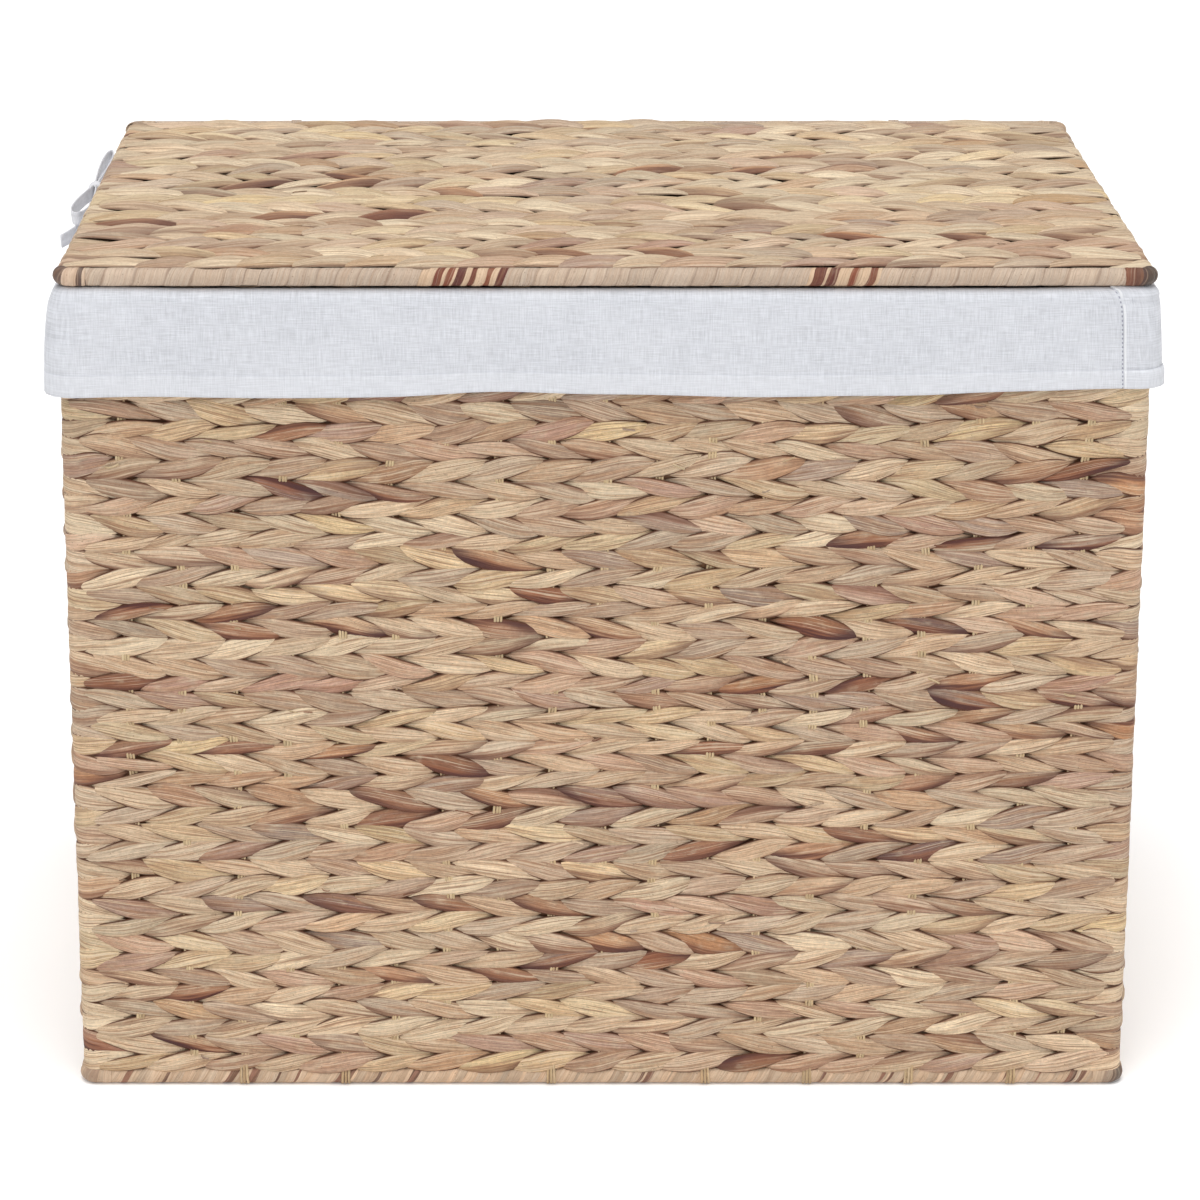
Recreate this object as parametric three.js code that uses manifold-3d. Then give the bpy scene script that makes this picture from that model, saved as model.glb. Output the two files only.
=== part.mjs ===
// A lidded laundry basket woven from flat plant strand on a wire frame, with a cotton liner.
// Millimetres, +Z up. The front faces -Y, and the floor it stands on is z = 0.
import * as THREE from 'three';
import { mergeVertices } from 'three/addons/utils/BufferGeometryUtils.js';
import Module from 'manifold-3d';

const wasm = await Module();
wasm.setup();

// Overall size
const WIDTH = 600;
const DEPTH = 420;
const HEIGHT = 480;
const GAP = 0.3;

// Wrapped borders and the wires inside them
const BORDER_R = 5;
const BORDER_SIDES = 12;
const WIRE_R = 2;
const WIRE_SIDES = 8;
const WIRE_BORE_R = WIRE_R + 0.5;
const LINE_X = WIDTH / 2 - BORDER_R;
const LINE_Y = DEPTH / 2 - BORDER_R;
const BEND_R = 5.4;
const BEND_STEPS = 2;
const LEAST_BEND = 0.8;

// Levels of the three wire rings
const BASE_Z = BORDER_R;
const LID_Z = HEIGHT - BORDER_R;
const CLOTH = 1.2;
const CUFF_TURN = BORDER_R + 0.6;
const LID_SEAT = 0.2;
const RIM_Z = LID_Z - BORDER_R - LID_SEAT - CLOTH - CUFF_TURN;
const WALL_BOTTOM = BASE_Z + BORDER_R;
const WALL_TOP = RIM_Z - BORDER_R;

// Woven walls, as offsets from the line of the wires, outwards positive
const WALL_OUT = BORDER_R;
const WALL_IN = -4.4;
const COURSE_SPACING = 20.4;
const COURSE_DIP = 1;
const CORNER_LEG = 14.5;
const CORNER_ROUND = 10;
const POST_INSET = BEND_R * (1 - Math.SQRT1_2);

// Stakes, the upright strands that the courses are woven round
const STAKE_SPACING = 29.2;
const STAKE_WIDTH = 4.6;
const STAKE_DEPTH = 2.4;
const STAKE_RAIL = 3;
const STAKE_TOP = WALL_TOP - STAKE_RAIL;

// Lid and floor panels
const PANEL_HALF = 4.5;
const PANEL_EDGE = LINE_Y - BEND_R - GAP;
const ROW_SPACING = 20;
const ROW_DIP = 1.1;
const LID_BINDING_LEG = 8;
const BASE_BINDING_LEG = 8;

// Liner cloth and the cuff that turns down over the rim
const TURN_STEPS = 5;
const CUFF_DROP = 53;
const CUFF_TUCK = 23;
const CUFF_FLARE = 2.4;
const HEM_HEIGHT = 12;
const HEM_EXTRA = 0.8;
const CUFF_WAVE = 1.1;
const CUFF_END_TURN = THREE.MathUtils.degToRad(44);
const LINER_OUT = -CUFF_TURN;
const LINER_IN = LINER_OUT - CLOTH;
const LINER_TOP = RIM_Z - CUFF_TUCK - GAP;
const LINER_FLOOR = WALL_BOTTOM;

// Hinge loops at the back, between the third and fourth stakes from each end
const HINGE_STAKES_IN = 2.5;
const HINGE_WIDTH = 8;
const HINGE_BORE = BORDER_R + 0.7;
const HINGE_THICK = 1.5;
const HINGE_SLOT = HINGE_WIDTH + 4;

// Tape bow on the left side, measured along the side and out from the line of the wires
const TAPE_WIDTH = 8;
const TAPE_THICK = 1;
const BOW_Z = RIM_Z - 5;
const KNOT_Y = 0.24 * DEPTH;
const LOOP_FRONT_REACH = 0.185 * DEPTH;
const LOOP_BACK_REACH = 0.225 * DEPTH;
const LOOP_FRONT_BULGE = 4.5;
const LOOP_BACK_BULGE = 2.2;
const KNOT_R = 6;
const KNOT_TALL = 1.5;
const KNOT_OUT = CUFF_TURN + CLOTH + 0.9 + KNOT_R;
const KNOT_DROP = KNOT_TALL * KNOT_R + TAPE_WIDTH / 2;
const TAIL_REACH = 0.242 * DEPTH;
const TAIL_TUCK = 1.5;
const TAIL_TIP = 11;
const TAIL_FALL = 58;
const LOOP_STEPS = 20;
const TAIL_STEPS = 10;

const MATERIALS = {
  weave: { color: 0xcbae86, roughness: 0.85, metalness: 0 },
  border: { color: 0xd6bd97, roughness: 0.8, metalness: 0 },
  binding: { color: 0x6a4638, roughness: 0.75, metalness: 0 },
  stake: { color: 0xddc79c, roughness: 0.85, metalness: 0 },
  wire: { color: 0x77787a, roughness: 0.45, metalness: 0.9 },
  cloth: { color: 0xe4e6ec, roughness: 0.95, metalness: 0 },
  tape: { color: 0xf0f0f2, roughness: 0.95, metalness: 0 },
};

function piece(name, geometry, look) {
  const mesh = new THREE.Mesh(geometry, new THREE.MeshStandardMaterial(MATERIALS[look]));
  mesh.name = name;
  return mesh;
}

function closed(geometry) {
  const bare = geometry.clone();
  bare.deleteAttribute('normal');
  bare.deleteAttribute('uv');
  bare.clearGroups();
  const merged = mergeVertices(bare, 1e-5);
  merged.computeVertexNormals();
  return merged;
}

// Joins and cuts
function toSolid(geometry) {
  const merged = closed(geometry);
  const solid = new wasm.Manifold(new wasm.Mesh({
    numProp: 3,
    vertProperties: new Float32Array(merged.attributes.position.array),
    triVerts: new Uint32Array(merged.index.array),
  }));
  return solid;
}

function toGeometry(solid) {
  const mesh = solid.getMesh();
  const geometry = new THREE.BufferGeometry();
  geometry.setAttribute('position', new THREE.BufferAttribute(new Float32Array(mesh.vertProperties), 3));
  geometry.setIndex(new THREE.BufferAttribute(new Uint32Array(mesh.triVerts), 1));
  geometry.computeVertexNormals();
  return geometry;
}

function join(geometries) {
  let solid = toSolid(geometries[0]);
  for (const geometry of geometries.slice(1)) {
    solid = solid.add(toSolid(geometry));
  }
  return toGeometry(solid);
}

function cut(geometry, tools) {
  let solid = toSolid(geometry);
  for (const tool of tools) {
    solid = solid.subtract(toSolid(tool));
  }
  return toGeometry(solid);
}

function block(xMin, xMax, yMin, yMax, zMin, zMax) {
  const box = new THREE.BoxGeometry(xMax - xMin, yMax - yMin, zMax - zMin);
  return box.translate((xMin + xMax) / 2, (yMin + yMax) / 2, (zMin + zMax) / 2);
}

// Profiles with a flat at the top, bottom and both sides
function polygonPoints(apothem, sides) {
  const radius = apothem / Math.cos(Math.PI / sides);
  const points = [];
  for (let i = 0; i < sides; i += 1) {
    const angle = (2 * Math.PI * (i + 0.5)) / sides;
    points.push(new THREE.Vector2(radius * Math.cos(angle), radius * Math.sin(angle)));
  }
  return points;
}

function rodShape() {
  return new THREE.Shape(polygonPoints(WIRE_R, WIRE_SIDES));
}

function wrapShape() {
  const shape = new THREE.Shape(polygonPoints(BORDER_R, BORDER_SIDES));
  shape.holes.push(new THREE.Path(polygonPoints(WIRE_BORE_R, WIRE_SIDES)));
  return shape;
}

// Carries a flat profile through a row of stations; place(station, u, v) gives each point
function sweep(shape, stations, place, loop = false) {
  const last = stations.length - 1;
  const settings = { depth: last, steps: last, bevelEnabled: false };
  let geometry = new THREE.ExtrudeGeometry(shape, settings);
  const walls = geometry.groups[1];
  const position = geometry.attributes.position;
  for (let i = 0; i < position.count; i += 1) {
    const station = stations[Math.round(position.getZ(i))];
    const point = place(station, position.getX(i), position.getY(i));
    position.setXYZ(i, point[0], point[1], point[2]);
  }
  if (loop) {
    const wallPoints = position.array.slice(walls.start * 3, (walls.start + walls.count) * 3);
    geometry = new THREE.BufferGeometry();
    geometry.setAttribute('position', new THREE.BufferAttribute(wallPoints, 3));
  }
  return closed(geometry);
}

// A station on a side: along runs from -1 to 1 on the straight stretch, turn goes round a corner
function sideStations(straightSteps, endTurn) {
  const stations = [];
  for (let i = 0; i < BEND_STEPS; i += 1) {
    stations.push({ along: 1, turn: endTurn * (1 - i / BEND_STEPS) });
  }
  for (let i = 0; i <= straightSteps; i += 1) {
    stations.push({ along: 1 - (2 * i) / straightSteps, turn: 0 });
  }
  for (let i = 1; i <= BEND_STEPS; i += 1) {
    stations.push({ along: -1, turn: (-endTurn * i) / BEND_STEPS });
  }
  return stations;
}

function sidePlace(side) {
  return (station, offset, height) => {
    const bend = Math.max(BEND_R + offset, LEAST_BEND);
    const x = station.along * (side.half + offset - bend) + bend * Math.sin(station.turn);
    const y = -(side.reach + offset - bend + bend * Math.cos(station.turn));
    return [x, y, height];
  };
}

const SIDES = [
  { name: 'front', half: LINE_X, reach: LINE_Y, steps: 14 },
  { name: 'right', half: LINE_Y, reach: LINE_X, steps: 10 },
  { name: 'back', half: LINE_X, reach: LINE_Y, steps: 14 },
  { name: 'left', half: LINE_Y, reach: LINE_X, steps: 10 },
];

const CORNERS = [
  { name: 'front_right', x: LINE_X, y: -LINE_Y },
  { name: 'back_right', x: LINE_X, y: LINE_Y },
  { name: 'back_left', x: -LINE_X, y: LINE_Y },
  { name: 'front_left', x: -LINE_X, y: -LINE_Y },
];

// Wire rings: one closed rod round all four sides
function wireRing() {
  const stations = [];
  SIDES.forEach((side, index) => {
    const halfTurn = sideStations(1, Math.PI / 4).reverse();
    halfTurn.pop();
    halfTurn.forEach((station) => stations.push({ ...station, side, quarter: index }));
  });
  stations.push(stations[0]);
  stations.reverse();
  const place = (station, offset, height) => {
    const [x, y, z] = sidePlace(station.side)(station, offset, height);
    const angle = (station.quarter * Math.PI) / 2;
    const cos = Math.round(Math.cos(angle));
    const sin = Math.round(Math.sin(angle));
    return [x * cos - y * sin, x * sin + y * cos, z];
  };
  return sweep(rodShape(), stations, place, true);
}

// Corner pieces, drawn for the front right corner with the wires' corner at the origin
function postRod(radius, zMin, zMax) {
  const rod = new THREE.ExtrudeGeometry(
    new THREE.Shape(polygonPoints(radius, WIRE_SIDES)),
    { depth: zMax - zMin, steps: 1, bevelEnabled: false },
  );
  return rod.translate(-POST_INSET, POST_INSET, zMin);
}

function cornerSleeve() {
  const arcCentre = WALL_OUT - CORNER_ROUND;
  const shape = new THREE.Shape();
  shape.moveTo(WALL_OUT - CORNER_LEG, -WALL_OUT);
  shape.lineTo(arcCentre, -WALL_OUT);
  shape.absarc(arcCentre, -arcCentre, CORNER_ROUND, -Math.PI / 2, 0, false);
  shape.lineTo(WALL_OUT, CORNER_LEG - WALL_OUT);
  shape.lineTo(WALL_IN, CORNER_LEG - WALL_OUT);
  shape.lineTo(WALL_IN, -WALL_IN);
  shape.lineTo(WALL_OUT - CORNER_LEG, -WALL_IN);
  shape.closePath();
  const hole = polygonPoints(WIRE_BORE_R, WIRE_SIDES);
  hole.forEach((point) => point.add(new THREE.Vector2(-POST_INSET, POST_INSET)));
  shape.holes.push(new THREE.Path(hole));
  const settings = { depth: WALL_TOP - WALL_BOTTOM, steps: 1, bevelEnabled: false, curveSegments: 6 };
  return closed(new THREE.ExtrudeGeometry(shape, settings).translate(0, 0, WALL_BOTTOM));
}

function cornerBinding(frontLeg, sideLeg) {
  const stations = [];
  if (sideLeg > 0) {
    stations.push({ turn: Math.PI / 2, front: 0, side: sideLeg });
  }
  for (let i = 0; i <= 2 * BEND_STEPS; i += 1) {
    stations.push({ turn: (Math.PI / 2) * (1 - i / (2 * BEND_STEPS)), front: 0, side: 0 });
  }
  if (frontLeg > 0) {
    stations.push({ turn: 0, front: frontLeg, side: 0 });
  }
  const place = (station, offset, height) => {
    const bend = BEND_R + offset;
    const x = -BEND_R + bend * Math.sin(station.turn) - station.front;
    const y = BEND_R - bend * Math.cos(station.turn) + station.side;
    return [x, y, height];
  };
  return sweep(wrapShape(), stations, place);
}

// Straight wrapped borders
function straightWrap(halfLength) {
  const stations = [{ x: halfLength }, { x: -halfLength }];
  return sweep(wrapShape(), stations, (station, offset, height) => [station.x, -offset, height]);
}

function rimWrap(side) {
  const sleeve = sweep(wrapShape(), sideStations(1, CUFF_END_TURN), sidePlace(side));
  const postHoles = [-1, 1].map((end) => {
    const hole = new THREE.ExtrudeGeometry(
      new THREE.Shape(polygonPoints(WIRE_BORE_R, WIRE_SIDES)),
      { depth: 2 * BORDER_R, steps: 1, bevelEnabled: false },
    );
    return hole.translate(end * (side.half - POST_INSET), -(side.reach - POST_INSET), -2 * BORDER_R);
  });
  return cut(sleeve, postHoles);
}

// Stakes stand at one spacing between the corner wires of their side
function stakePlaces(halfLength) {
  const span = 2 * (halfLength - POST_INSET);
  const bays = Math.round(span / STAKE_SPACING);
  const pitch = span / bays;
  const places = [];
  for (let i = 1; i < bays; i += 1) {
    places.push(i * pitch - span / 2);
  }
  return { places, pitch };
}

const backStakes = stakePlaces(LINE_X);
const HINGE_X = backStakes.places.at(-1) - HINGE_STAKES_IN * backStakes.pitch;

// Woven panels: a scalloped profile, one bulge for each course of strand
function scallops(spacing, from, to, crest, dip) {
  const points = [];
  const count = Math.round((to - from) / spacing);
  const pitch = (to - from) / count;
  for (let i = 0; i < count; i += 1) {
    points.push([from + pitch * i, crest - dip]);
    points.push([from + pitch * (i + 0.22), crest]);
    points.push([from + pitch * (i + 0.78), crest]);
  }
  points.push([to, crest - dip]);
  return points;
}

function stakeComb(halfLength, start, end, railFrom, railTo, slack) {
  const { places } = stakePlaces(halfLength);
  const half = STAKE_WIDTH / 2 + slack;
  const thick = STAKE_DEPTH / 2 + slack;
  const parts = places.map((x) => block(x - half, x + half, -thick, thick, start, end));
  const reach = places.at(-1) + slack;
  parts.push(block(-reach, reach, -thick, thick, railFrom - slack, railTo + slack));
  return join(parts);
}

function wallStakes(side, slack) {
  const start = WALL_BOTTOM + GAP - 4 * slack;
  const comb = stakeComb(side.half, start, STAKE_TOP + slack, STAKE_TOP - STAKE_RAIL, STAKE_TOP, slack);
  return comb.translate(0, -side.reach - (WALL_OUT + WALL_IN) / 2, 0);
}

function wallPanel(side) {
  const halfLength = side.half + WALL_OUT - CORNER_LEG - GAP;
  const outer = scallops(COURSE_SPACING, WALL_BOTTOM, WALL_TOP, WALL_OUT, COURSE_DIP);
  const shape = new THREE.Shape();
  outer.forEach(([height, offset], i) => (i ? shape.lineTo(offset, height) : shape.moveTo(offset, height)));
  shape.lineTo(WALL_IN, WALL_TOP);
  shape.lineTo(WALL_IN, WALL_BOTTOM);
  shape.closePath();
  const stations = [{ x: halfLength }, { x: -halfLength }];
  const place = (station, offset, height) => [station.x, -side.reach - offset, height];
  const tools = [wallStakes(side, GAP)];
  if (side.name === 'back') {
    tools.push(...hingeSlots(side.reach - 2 * BORDER_R, side.reach + 2 * BORDER_R));
  }
  return cut(sweep(shape, stations, place), tools);
}

// Room for the hinge loops in a piece of the back side, drawn with the side facing -Y
function hingeSlots(yFrom, yTo) {
  const low = RIM_Z - HINGE_BORE - HINGE_THICK - GAP;
  return [-1, 1].map((end) => {
    const x = end * HINGE_X;
    return block(x - HINGE_SLOT / 2, x + HINGE_SLOT / 2, -yTo, -yFrom, low, LID_Z);
  });
}

// A flat woven panel, scalloped below and, where both faces show, above
function flatPanelShape(halfDepth, bothFaces) {
  const bulges = scallops(ROW_SPACING, -halfDepth, halfDepth, PANEL_HALF, ROW_DIP);
  const upper = bothFaces ? bulges : [[-halfDepth, PANEL_HALF], [halfDepth, PANEL_HALF]];
  const shape = new THREE.Shape();
  upper.forEach(([y, z], i) => (i ? shape.lineTo(y, z) : shape.moveTo(y, z)));
  [...bulges].reverse().forEach(([y, z]) => shape.lineTo(y, -z));
  shape.closePath();
  return shape;
}

function lidStakes(slack) {
  const reach = PANEL_EDGE - GAP;
  const comb = stakeComb(LINE_X, -reach - slack, reach + slack, -reach, STAKE_RAIL - reach, slack);
  return comb.rotateX(-Math.PI / 2);
}

function lidPanel() {
  const sideBores = [-1, 1].map((end) => {
    const bore = new THREE.CylinderGeometry(WIRE_BORE_R, WIRE_BORE_R, 2 * DEPTH, WIRE_SIDES);
    return bore.translate(end * LINE_X, 0, 0);
  });
  const notches = [-1, 1].map((end) => {
    const x = end * HINGE_X;
    const front = LINE_Y - HINGE_BORE - HINGE_THICK - 1;
    return block(x - HINGE_SLOT / 2, x + HINGE_SLOT / 2, front, LINE_Y, -2 * BORDER_R, 2 * BORDER_R);
  });
  const halfLength = WIDTH / 2;
  const roundOver = PANEL_HALF - 0.5;
  const stations = [
    { x: -halfLength, scale: 0.6 },
    { x: roundOver - halfLength, scale: 1 },
    { x: halfLength - roundOver, scale: 1 },
    { x: halfLength, scale: 0.6 },
  ];
  const place = (station, y, z) => [station.x, y, z * station.scale];
  const panel = sweep(flatPanelShape(PANEL_EDGE, true), stations, place);
  return cut(panel, [lidStakes(GAP), ...sideBores, ...notches]);
}

function floorPanel() {
  const halfX = LINE_X - BORDER_R - GAP;
  const halfY = LINE_Y - BORDER_R - GAP;
  const nip = 2;
  const stations = [{ x: -halfX }, { x: halfX }];
  const panel = sweep(flatPanelShape(halfY, false), stations, (station, y, z) => [station.x, y, z]);
  const corners = [[1, 1], [1, -1], [-1, 1], [-1, -1]].map(([sx, sy]) => {
    const tool = new THREE.BoxGeometry(2 * nip, 2 * nip, 4 * BORDER_R);
    return tool.rotateZ(Math.PI / 4).translate(sx * halfX, sy * halfY, 0);
  });
  return cut(panel, corners);
}

// The cuff: up the inside of the rim, over it and down the outside to a doubled hem
function cuffShape() {
  const top = RIM_Z;
  const bottom = RIM_Z - CUFF_DROP;
  const hemTop = bottom + HEM_HEIGHT;
  const hemIn = CUFF_TURN + CUFF_FLARE - 0.4;
  const outR = CUFF_TURN + CLOTH;
  const shape = new THREE.Shape();
  shape.moveTo(LINER_IN, RIM_Z - CUFF_TUCK);
  shape.lineTo(LINER_OUT, RIM_Z - CUFF_TUCK);
  for (let i = 0; i <= TURN_STEPS; i += 1) {
    const angle = Math.PI * (1 - i / TURN_STEPS);
    shape.lineTo(CUFF_TURN * Math.cos(angle), top + CUFF_TURN * Math.sin(angle));
  }
  shape.lineTo(hemIn, hemTop);
  shape.lineTo(hemIn + 0.4, bottom);
  shape.lineTo(hemIn + 0.4 + CLOTH + HEM_EXTRA, bottom);
  shape.lineTo(hemIn + CLOTH + HEM_EXTRA, hemTop - 0.4);
  shape.lineTo(hemIn + CLOTH, hemTop + 0.4);
  for (let i = 0; i <= TURN_STEPS; i += 1) {
    const angle = (Math.PI * i) / TURN_STEPS;
    shape.lineTo(outR * Math.cos(angle), top + outR * Math.sin(angle));
  }
  shape.closePath();
  return shape;
}

function cuff(side) {
  const base = sidePlace(side);
  const place = (station, offset, height) => {
    const hang = Math.max(0, (RIM_Z - height) / CUFF_DROP) * (offset > 0 ? 1 : 0);
    const along = station.along * side.half;
    const wave = 0.65 * Math.sin(along / 37 + side.reach) + 0.35 * Math.sin(along / 17);
    const sag = Math.cos(along / 95 + side.half) + 0.4 * Math.sin(along / 31);
    return base(station, offset + CUFF_WAVE * wave * hang, height - sag * hang * hang);
  };
  const cloth = sweep(cuffShape(), sideStations(side.steps, CUFF_END_TURN), place);
  if (side.name === 'back') {
    return cut(cloth, hingeSlots(side.reach - 3 * BORDER_R, side.reach + 3 * BORDER_R));
  }
  return cloth;
}

function linerSide(side) {
  const isLong = side.half === LINE_X;
  const halfLength = isLong ? side.half + LINER_OUT : side.half + LINER_IN - GAP;
  return block(-halfLength, halfLength, -side.reach - LINER_OUT, -side.reach - LINER_IN, LINER_FLOOR, LINER_TOP);
}

function linerFloor() {
  const halfX = LINE_X + LINER_IN - GAP;
  const halfY = LINE_Y + LINER_IN - GAP;
  return block(-halfX, halfX, -halfY, halfY, LINER_FLOOR, LINER_FLOOR + CLOTH);
}

// Hinge loop: a strap round the lid's rear border and the rim below it
function hingeLoop() {
  const stadium = (radius) => {
    const path = new THREE.Shape();
    path.absarc(0, LID_Z, radius, 0, Math.PI, false);
    path.absarc(0, RIM_Z, radius, Math.PI, 2 * Math.PI, false);
    path.closePath();
    return path;
  };
  const shape = stadium(HINGE_BORE + HINGE_THICK);
  shape.holes.push(stadium(HINGE_BORE));
  const settings = { depth: HINGE_WIDTH, steps: 1, bevelEnabled: false, curveSegments: 5 };
  const strap = new THREE.ExtrudeGeometry(shape, settings);
  const upright = new THREE.Matrix4().makeBasis(
    new THREE.Vector3(0, 1, 0),
    new THREE.Vector3(0, 0, 1),
    new THREE.Vector3(1, 0, 0),
  );
  return closed(strap.applyMatrix4(upright).translate(-HINGE_WIDTH / 2, 0, 0));
}

// Tape of the bow along a path of points (-out, y, rise), with its width towards the given direction
function tape(pathPoint, steps, widthTowards) {
  const stations = [];
  for (let i = 0; i <= steps; i += 1) {
    const t = i / steps;
    const centre = pathPoint(t);
    const ahead = pathPoint(Math.min(t + 0.01, 1));
    const tangent = ahead.sub(pathPoint(Math.max(t - 0.01, 0))).normalize();
    const width = widthTowards.clone().addScaledVector(tangent, -widthTowards.dot(tangent)).normalize();
    const normal = new THREE.Vector3().crossVectors(width, tangent);
    stations.push({ centre, width, normal });
  }
  const strip = new THREE.Shape([
    new THREE.Vector2(-TAPE_THICK / 2, -TAPE_WIDTH / 2),
    new THREE.Vector2(TAPE_THICK / 2, -TAPE_WIDTH / 2),
    new THREE.Vector2(TAPE_THICK / 2, TAPE_WIDTH / 2),
    new THREE.Vector2(-TAPE_THICK / 2, TAPE_WIDTH / 2),
  ]);
  const place = ({ centre, width, normal }, across, along) => {
    const point = centre.clone().addScaledVector(normal, across).addScaledVector(width, along);
    return point.toArray();
  };
  return sweep(strip, stations, place);
}

function bowLoop(direction, reach, bulge) {
  const start = direction * (KNOT_R + GAP);
  const path = (t) => {
    const y = start + direction * reach * Math.sin(Math.PI * t);
    const spread = 0.9 * Math.cos(Math.PI * t) + bulge * Math.sin(2 * Math.PI * t);
    const lean = (bulge - 1.6) * Math.sin(Math.PI * t);
    return new THREE.Vector3(-(KNOT_OUT + lean + spread), y, 0);
  };
  return tape(path, LOOP_STEPS, new THREE.Vector3(0, 0, 1));
}

function bowTailAlong() {
  const path = (t) => {
    const away = TAIL_TUCK * Math.min(1, 6 * t) - TAIL_TIP * t * t * t;
    return new THREE.Vector3(away - KNOT_OUT, -KNOT_R - GAP - TAIL_REACH * t, -TAPE_WIDTH - GAP);
  };
  return tape(path, TAIL_STEPS, new THREE.Vector3(0, 0, 1));
}

function bowTailDown() {
  const path = (t) => new THREE.Vector3(
    -KNOT_OUT - 1.5 * Math.sin(2 * t),
    TAPE_WIDTH / 2 + 10 * t * t,
    -KNOT_DROP - GAP - TAIL_FALL * t,
  );
  return tape(path, TAIL_STEPS, new THREE.Vector3(0, 1, 0));
}

function bowKnot() {
  const knot = new THREE.SphereGeometry(KNOT_R, 10, 8);
  knot.scale(1, 1, KNOT_TALL);
  return closed(knot.translate(-KNOT_OUT, 0, -TAPE_WIDTH / 2));
}

// Assembly
const object = new THREE.Group();
const basket = new THREE.Group();
const lid = new THREE.Group();
object.add(basket, lid);
lid.position.z = LID_Z;

const ring = wireRing();
const baseRing = piece('base_wire_ring', ring, 'wire');
baseRing.position.z = BASE_Z;
const rimRing = piece('rim_wire_ring', ring, 'wire');
rimRing.position.z = RIM_Z;
basket.add(baseRing, rimRing);
lid.add(piece('lid_wire_ring', ring, 'wire'));

const postBottom = BASE_Z + WIRE_R + GAP;
const postTop = RIM_Z - WIRE_R - GAP;
const sleeve = cornerSleeve();
const post = closed(postRod(WIRE_R, postBottom, postTop));
const baseBinding = cut(
  cornerBinding(BASE_BINDING_LEG, BASE_BINDING_LEG).translate(0, 0, BASE_Z),
  [postRod(WIRE_BORE_R, BASE_Z, WALL_BOTTOM + 1)],
);
CORNERS.forEach((corner, index) => {
  const place = new THREE.Group();
  place.position.set(corner.x, corner.y, 0);
  place.rotation.z = (index * Math.PI) / 2;
  place.add(piece(`corner_post_${corner.name}`, post, 'wire'));
  place.add(piece(`corner_weave_${corner.name}`, sleeve, 'weave'));
  place.add(piece(`base_binding_${corner.name}`, baseBinding, 'binding'));
  basket.add(place);

  const lidPlace = new THREE.Group();
  lidPlace.position.set(corner.x, corner.y, 0);
  lidPlace.rotation.z = (index * Math.PI) / 2;
  const alongFront = index % 2 === 0;
  const binding = cornerBinding(alongFront ? LID_BINDING_LEG : 0, alongFront ? 0 : LID_BINDING_LEG);
  lidPlace.add(piece(`lid_binding_${corner.name}`, binding, 'binding'));
  lid.add(lidPlace);
});

SIDES.forEach((side, index) => {
  const place = new THREE.Group();
  place.rotation.z = (index * Math.PI) / 2;
  place.add(piece(`wall_${side.name}`, wallPanel(side), 'weave'));
  place.add(piece(`stakes_${side.name}`, wallStakes(side, 0), 'stake'));
  const baseWrap = piece(
    `base_wrap_${side.name}`,
    straightWrap(side.half - BEND_R - BASE_BINDING_LEG - GAP),
    'border',
  );
  baseWrap.position.set(0, -side.reach, BASE_Z);
  const rim = piece(`rim_wrap_${side.name}`, rimWrap(side), 'border');
  rim.position.z = RIM_Z;
  place.add(baseWrap, rim);
  place.add(piece(`liner_${side.name}`, linerSide(side), 'cloth'));
  place.add(piece(`cuff_${side.name}`, cuff(side), 'cloth'));
  basket.add(place);
});

const floor = piece('base_weave', floorPanel(), 'weave');
floor.position.z = BASE_Z;
basket.add(floor);
basket.add(piece('liner_floor', linerFloor(), 'cloth'));

for (const [name, x] of [['hinge_loop_left', -HINGE_X], ['hinge_loop_right', HINGE_X]]) {
  const loop = piece(name, hingeLoop(), 'border');
  loop.position.set(x, LINE_Y, 0);
  basket.add(loop);
}

const bow = new THREE.Group();
bow.position.set(-LINE_X, KNOT_Y, BOW_Z);
bow.add(piece('tape_knot', bowKnot(), 'tape'));
bow.add(piece('tape_loop_front', bowLoop(-1, LOOP_FRONT_REACH, LOOP_FRONT_BULGE), 'tape'));
bow.add(piece('tape_loop_back', bowLoop(1, LOOP_BACK_REACH, LOOP_BACK_BULGE), 'tape'));
bow.add(piece('tape_tail_front', bowTailAlong(), 'tape'));
bow.add(piece('tape_tail_back', bowTailDown(), 'tape'));
basket.add(bow);

lid.add(piece('lid_weave', lidPanel(), 'weave'));
lid.add(piece('lid_stakes', lidStakes(0), 'stake'));
const lidWrapHalf = LINE_X - BEND_R - LID_BINDING_LEG - GAP;
for (const [name, y] of [['lid_wrap_front', -LINE_Y], ['lid_wrap_back', LINE_Y]]) {
  const wrap = piece(name, straightWrap(lidWrapHalf), 'border');
  wrap.position.y = y;
  lid.add(wrap);
}

export default object;
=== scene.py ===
"""Blender scene of the lidded laundry basket, in the frame of the CAD model.

Lengths are millimetres, as in part.mjs, and become metres when a mesh is made. A point on the walls or
borders is (s, z, d): s runs round the line of the wires from the middle of the front left corner, rightwards
as seen from outside, z is the height and d the distance out from that line.
"""

from collections import namedtuple
from dataclasses import dataclass
from math import ceil, cos, pi, radians, sin

import bmesh
import bpy
import numpy as np
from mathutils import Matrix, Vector
from numpy.random import default_rng


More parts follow.
